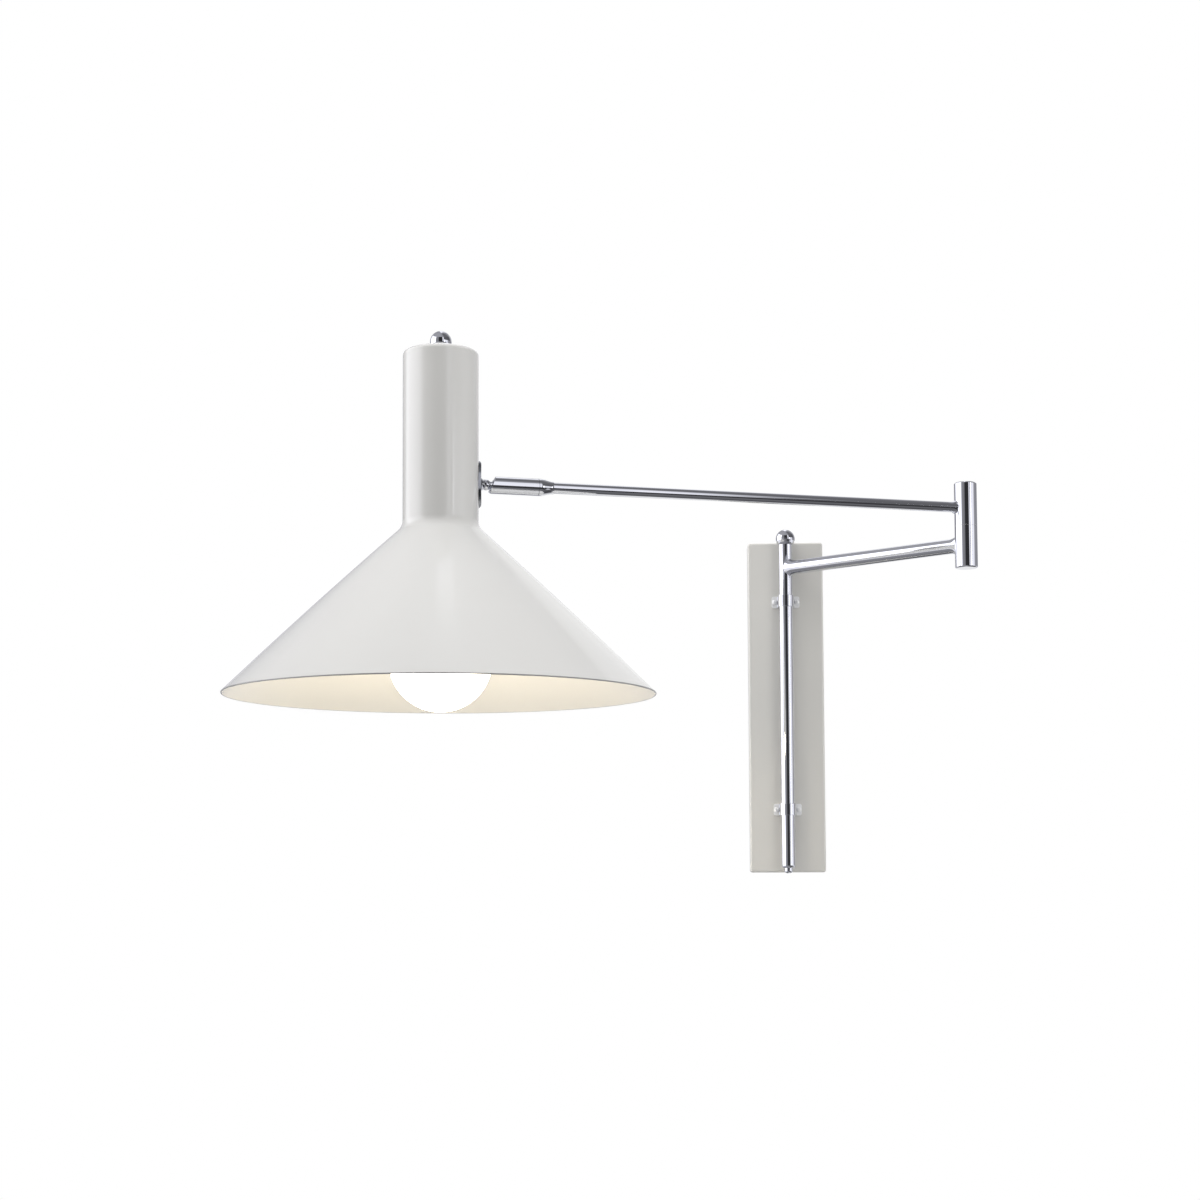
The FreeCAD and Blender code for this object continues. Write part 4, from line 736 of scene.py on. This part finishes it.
def shade():
    """One spun shell with a rounded rim; its inside has painted bulb light and its rim a painted shadow."""
    outer = cut_finely(shade_side(0.0), LONGEST_RUN)
    inner = cut_finely(shade_side(SHADE_WALL), LONGEST_RUN)
    bead = SHADE_WALL / 2
    rim_centre = ((outer[0][0] + inner[0][0]) / 2, (outer[0][1] + inner[0][1]) / 2)
    start = math.degrees(math.atan2(inner[0][1] - rim_centre[1], inner[0][0] - rim_centre[0]))
    rim = arc(rim_centre, bead, start, start + 180, steps=8)[1:-1]
    outline = list(reversed(inner)) + rim + outer
    piece = turned("shade_shell", outline, standing(SHADE), SHADE_SEGMENTS)
    settle(piece, "shade_body", "shade_paint", SHADE_PAINT, "shade")
    piece.data.materials.append(SHADE_INSIDE_PAINTED_LIGHT)
    piece.data.materials.append(RIM_PAINTED_SHADOW)
    first_rim_row = len(inner) - 1
    first_outer_row = first_rim_row + len(rim) + 1
    for face in piece.data.polygons:
        row = face.index // SHADE_SEGMENTS
        # Inside faces take the painted light of the bulb.
        if row < first_rim_row:
            face.material_index = 1
        # Rim faces take the painted shadow.
        elif row < first_outer_row:
            face.material_index = 2
    return piece


def neck_top():
    """Ball nut and its washer on the neck's crown."""
    low, high = span("shade_finial_washer")
    radius = half_width("shade_finial_washer")
    outline = softened([(ROD_HOLE, low.z), (radius, low.z, FINE_EDGE), (radius, high.z, WASHER_EDGE),
                        (ROD_HOLE, high.z)])
    washer = turned("crown_washer", outline, standing(SHADE))
    settle(washer, "shade_body", "chrome", CHROME, "shade_finial_washer")
    base = span("shade_finial")[0].z
    ball = turned("crown_ball", finial_outline(ROD_HOLE, FINIAL_HOLE), standing(SHADE, base))
    settle(ball, "shade_body", "chrome", CHROME, "shade_finial")


# --- camera, lights and surroundings -------------------------------------------------------------------
# The camera's place and sensor are in millimetres and its turns are in degrees. The focal length and the
# height of the optical axis, from the top edge, are in pixels of the photograph.
IMAGE = 1200.0
SENSOR = 36.0
CAMERA_PLACE = Vector((-84.2, -1804.9, -151.5))
CAMERA_PITCH = 4.0
CAMERA_YAW = -2.74
CAMERA_ROLL = -0.23
FOCAL_PIXELS = 1966.3
AXIS_Y = 737.4

# Lights and floor are in metres. Each light has its place, its two sides and its power in watts.
LIGHT_TARGET = (-0.15, -0.2, 0.05)
LIGHTS = {
    "top_light": ((-0.35, -0.35, 1.3), (1.6, 1.4), 20.0),
    "left_light": ((-1.9, -0.35, 0.25), (1.2, 1.4), 20.0),
    "right_light": ((1.85, -0.3, 0.35), (1.2, 1.2), 11.0),
    "front_light": ((1.2, -1.8, 0.2), (1.0, 1.0), 9.5),
}
WORLD_LIGHT = 0.35
FLOOR_HEIGHT = -1.35
FLOOR_HALF = 1.6

# What the chrome and the clear coat reflect: rings of walls and dark gaps, one above the other. Each stop is
# an azimuth in degrees and a grey level. Azimuth 0 is on the camera's side of the room, a positive one is to
# its right, and 180 is behind the lamp.
DEEP = ((-180, 0.10), (-60, 0.04), (122, 0.03), (134, 0.30), (180, 0.30))
UNDER = ((-180, 0.5), (-140, 0.5), (-116, 0.9), (-56, 0.9), (-46, 0.35), (-18, 0.30), (-10, 0.22),
         (20, 0.10), (28, 0.04), (60, 0.04), (66, 0.6), (76, 0.9), (100, 0.9), (140, 0.5), (180, 0.5))
SIDES = ((-180, 0.6), (-156, 0.6), (-148, 0.25), (-126, 0.28), (-116, 1.9), (-56, 1.9), (-46, 0.30),
         (-18, 0.20), (-13, 0.03), (22, 0.03), (29, 1.0), (35, 1.0), (38, 0.12), (43.5, 0.12), (44.5, 3.4),
         (48, 3.4), (48.5, 0.9), (76, 1.0), (90, 0.32), (148, 0.25), (156, 0.6), (180, 0.6))
ABOVE = ((-180, 0.42), (-126, 0.40), (-116, 1.9), (-56, 1.9), (-46, 0.30), (-18, 0.20), (-13, 0.03),
         (22, 0.03), (28, 1.0), (36, 0.9), (41, 0.13), (110, 0.10), (135, 0.42), (180, 0.42))
CEILING = ((-180, 1.25), (-170, 1.25), (-162, 0.34), (-95, 0.38), (-10, 0.38), (36, 0.30), (46, 0.15),
           (100, 0.15), (125, 0.32), (162, 0.34), (170, 1.25), (180, 1.25))
# Each ring takes over from the one below it between two heights of the reflected direction, -1 to 1.
ROOM = ((-1.0, -0.97, DEEP), (-0.58, -0.48, UNDER), (-0.15, -0.09, SIDES), (0.205, 0.24, ABOVE),
        (0.60, 0.68, CEILING))
FLOOR_GREY = (0.45, 0.45, 0.48)
ZENITH = (0.975, 0.99)
ZENITH_GREY = (0.36, 0.36, 0.39)
COOL_SHARE = 1.08


def camera():
    """The photograph's viewpoint, fitted to the wall plate, the arms, the elbow and the shade's rim."""
    pitch, yaw, roll = (math.radians(a) for a in (CAMERA_PITCH, CAMERA_YAW, CAMERA_ROLL))
    forward = Vector((math.sin(yaw) * math.cos(pitch), math.cos(yaw) * math.cos(pitch), math.sin(pitch)))
    right = Vector((math.cos(yaw), -math.sin(yaw), 0))
    up = right.cross(forward)
    across = right * math.cos(roll) + up * math.sin(roll)
    upward = up * math.cos(roll) - right * math.sin(roll)
    data = bpy.data.cameras.new("camera")
    data.sensor_width = SENSOR
    data.lens = FOCAL_PIXELS / IMAGE * SENSOR
    data.shift_y = (AXIS_Y - IMAGE / 2) / IMAGE
    data.clip_end = 50.0
    made = bpy.data.objects.new("camera", data)
    turn = Matrix((across, upward, -forward)).transposed().to_4x4()
    made.matrix_world = Matrix.Translation(CAMERA_PLACE * MM) @ turn
    bpy.context.scene.collection.objects.link(made)
    bpy.context.scene.camera = made


def area_light(name, place, size, power):
    """Soft light aimed at the lamp. Reflections show the world's own walls instead of it."""
    data = bpy.data.lights.new(name, "AREA")
    data.shape = "RECTANGLE"
    data.size, data.size_y = size
    data.energy = power
    made = bpy.data.objects.new(name, data)
    made.location = place
    made.rotation_euler = (Vector(LIGHT_TARGET) - Vector(place)).to_track_quat("-Z", "Y").to_euler()
    made.visible_glossy = False
    bpy.context.scene.collection.objects.link(made)


def math_node(tree, kind, a, b):
    """A math node's output. Each operand is a number or another node's output."""
    made = tree.nodes.new("ShaderNodeMath")
    made.operation = kind
    for socket, value in zip(made.inputs, (a, b)):
        if isinstance(value, (int, float)):
            socket.default_value = value
        else:
            tree.links.new(value, socket)
    return made.outputs[0]


def grey_ring(tree, turn, stops):
    """Slightly cool greys by azimuth. The turn runs from 0 to 1, starting and ending behind the lamp."""
    made = tree.nodes.new("ShaderNodeValToRGB")
    elements = made.color_ramp.elements
    ends = {0: elements[0], len(stops) - 1: elements[1]}
    for k, (degrees, level) in enumerate(stops):
        element = ends[k] if k in ends else elements.new(degrees / 360 + 0.5)
        element.color = (level, level, level * COOL_SHARE, 1.0)
    tree.links.new(turn, made.inputs["Fac"])
    return made.outputs["Color"]


def blend(tree, height, low, high, below, above):
    """Pass from one colour to another as the height runs from low to high."""
    share = tree.nodes.new("ShaderNodeMapRange")
    share.interpolation_type = "SMOOTHSTEP"
    share.inputs["From Min"].default_value = low
    share.inputs["From Max"].default_value = high
    tree.links.new(height, share.inputs["Value"])
    made = tree.nodes.new("ShaderNodeMix")
    made.data_type = "RGBA"
    tree.links.new(share.outputs["Result"], made.inputs["Factor"])
    for socket, color in (("A", below), ("B", above)):
        if isinstance(color, tuple):
            made.inputs[socket].default_value = (*color, 1.0)
        else:
            tree.links.new(color, made.inputs[socket])
    return made.outputs["Result"]


def reflected_room(tree):
    """The room that reflections show, by direction: from the floor below to the zenith."""
    coordinates = tree.nodes.new("ShaderNodeTexCoord").outputs["Generated"]
    split = tree.nodes.new("ShaderNodeSeparateXYZ")
    tree.links.new(coordinates, split.inputs["Vector"])
    forward = math_node(tree, "MULTIPLY", split.outputs["Y"], -1.0)
    azimuth = math_node(tree, "ARCTAN2", split.outputs["X"], forward)
    turn = math_node(tree, "ADD", math_node(tree, "DIVIDE", azimuth, 2 * math.pi), 0.5)
    height = split.outputs["Z"]
    room = FLOOR_GREY
    for low, high, stops in ROOM:
        room = blend(tree, height, low, high, room, grey_ring(tree, turn, stops))
    return blend(tree, height, *ZENITH, room, ZENITH_GREY)


def background(tree, color, strength=1.0):
    """A world background of one colour, given as numbers or as another node's output."""
    made = tree.nodes.new("ShaderNodeBackground")
    made.inputs["Strength"].default_value = strength
    if isinstance(color, tuple):
        made.inputs["Color"].default_value = (*color, 1.0)
    else:
        tree.links.new(color, made.inputs["Color"])
    return made.outputs[0]


def choose(tree, factor, without, instead):
    """One shader where the factor is 0 and another where it is 1."""
    made = tree.nodes.new("ShaderNodeMixShader")
    tree.links.new(factor, made.inputs["Fac"])
    tree.links.new(without, made.inputs[1])
    tree.links.new(instead, made.inputs[2])
    return made.outputs[0]


def surroundings():
    """White to the camera, a plain soft level as light, and a pale room with dark gaps in reflections."""
    world = bpy.data.worlds.new("studio")
    bpy.context.scene.world = world
    world.use_nodes = True
    tree = world.node_tree
    tree.nodes.clear()
    paths = tree.nodes.new("ShaderNodeLightPath")
    plain = background(tree, (1.0, 0.995, 0.985), WORLD_LIGHT)
    reflections = background(tree, reflected_room(tree))
    white = background(tree, (1.0, 1.0, 1.0))
    unseen = choose(tree, paths.outputs["Is Glossy Ray"], plain, reflections)
    seen = math_node(tree, "MAXIMUM", paths.outputs["Is Camera Ray"], paths.outputs["Is Transmission Ray"])
    output = tree.nodes.new("ShaderNodeOutputWorld")
    tree.links.new(choose(tree, seen, unseen, white), output.inputs["Surface"])


def floor():
    """Pale floor well below the lamp, white to the camera and left out of reflections."""
    signs = ((-1, -1), (1, -1), (1, 1), (-1, 1))
    corners = [(x * FLOOR_HALF, y * FLOOR_HALF, FLOOR_HEIGHT) for x, y in signs]
    mesh = bpy.data.meshes.new("floor")
    mesh.from_pydata(corners, [], [(0, 1, 2, 3)])
    made = bpy.data.objects.new("floor", mesh)
    bpy.context.scene.collection.objects.link(made)
    material = bpy.data.materials.new("floor")
    material.use_nodes = True
    tree = material.node_tree
    principled = tree.nodes["Principled BSDF"]
    principled.inputs["Base Color"].default_value = (0.82, 0.82, 0.82, 1.0)
    principled.inputs["Roughness"].default_value = 0.9
    paths = tree.nodes.new("ShaderNodeLightPath")
    glow = tree.nodes.new("ShaderNodeEmission")
    surface = choose(tree, paths.outputs["Is Camera Ray"], principled.outputs[0], glow.outputs[0])
    tree.links.new(surface, tree.nodes["Material Output"].inputs["Surface"])
    made.data.materials.append(material)
    made.visible_glossy = False


# --- putting it together -------------------------------------------------------------------------------
dress_cad_nodes()
cover_plate()
strap_clip("upper_clip")
strap_clip("lower_clip")
pole_pieces()
elbow_pieces()
arms()
end_fitting()
shade()
neck_top()
camera()
surroundings()
floor()
for name, (place, size, power) in LIGHTS.items():
    area_light(name, place, size, power)

scene = bpy.context.scene
scene.view_settings.view_transform = "Standard"
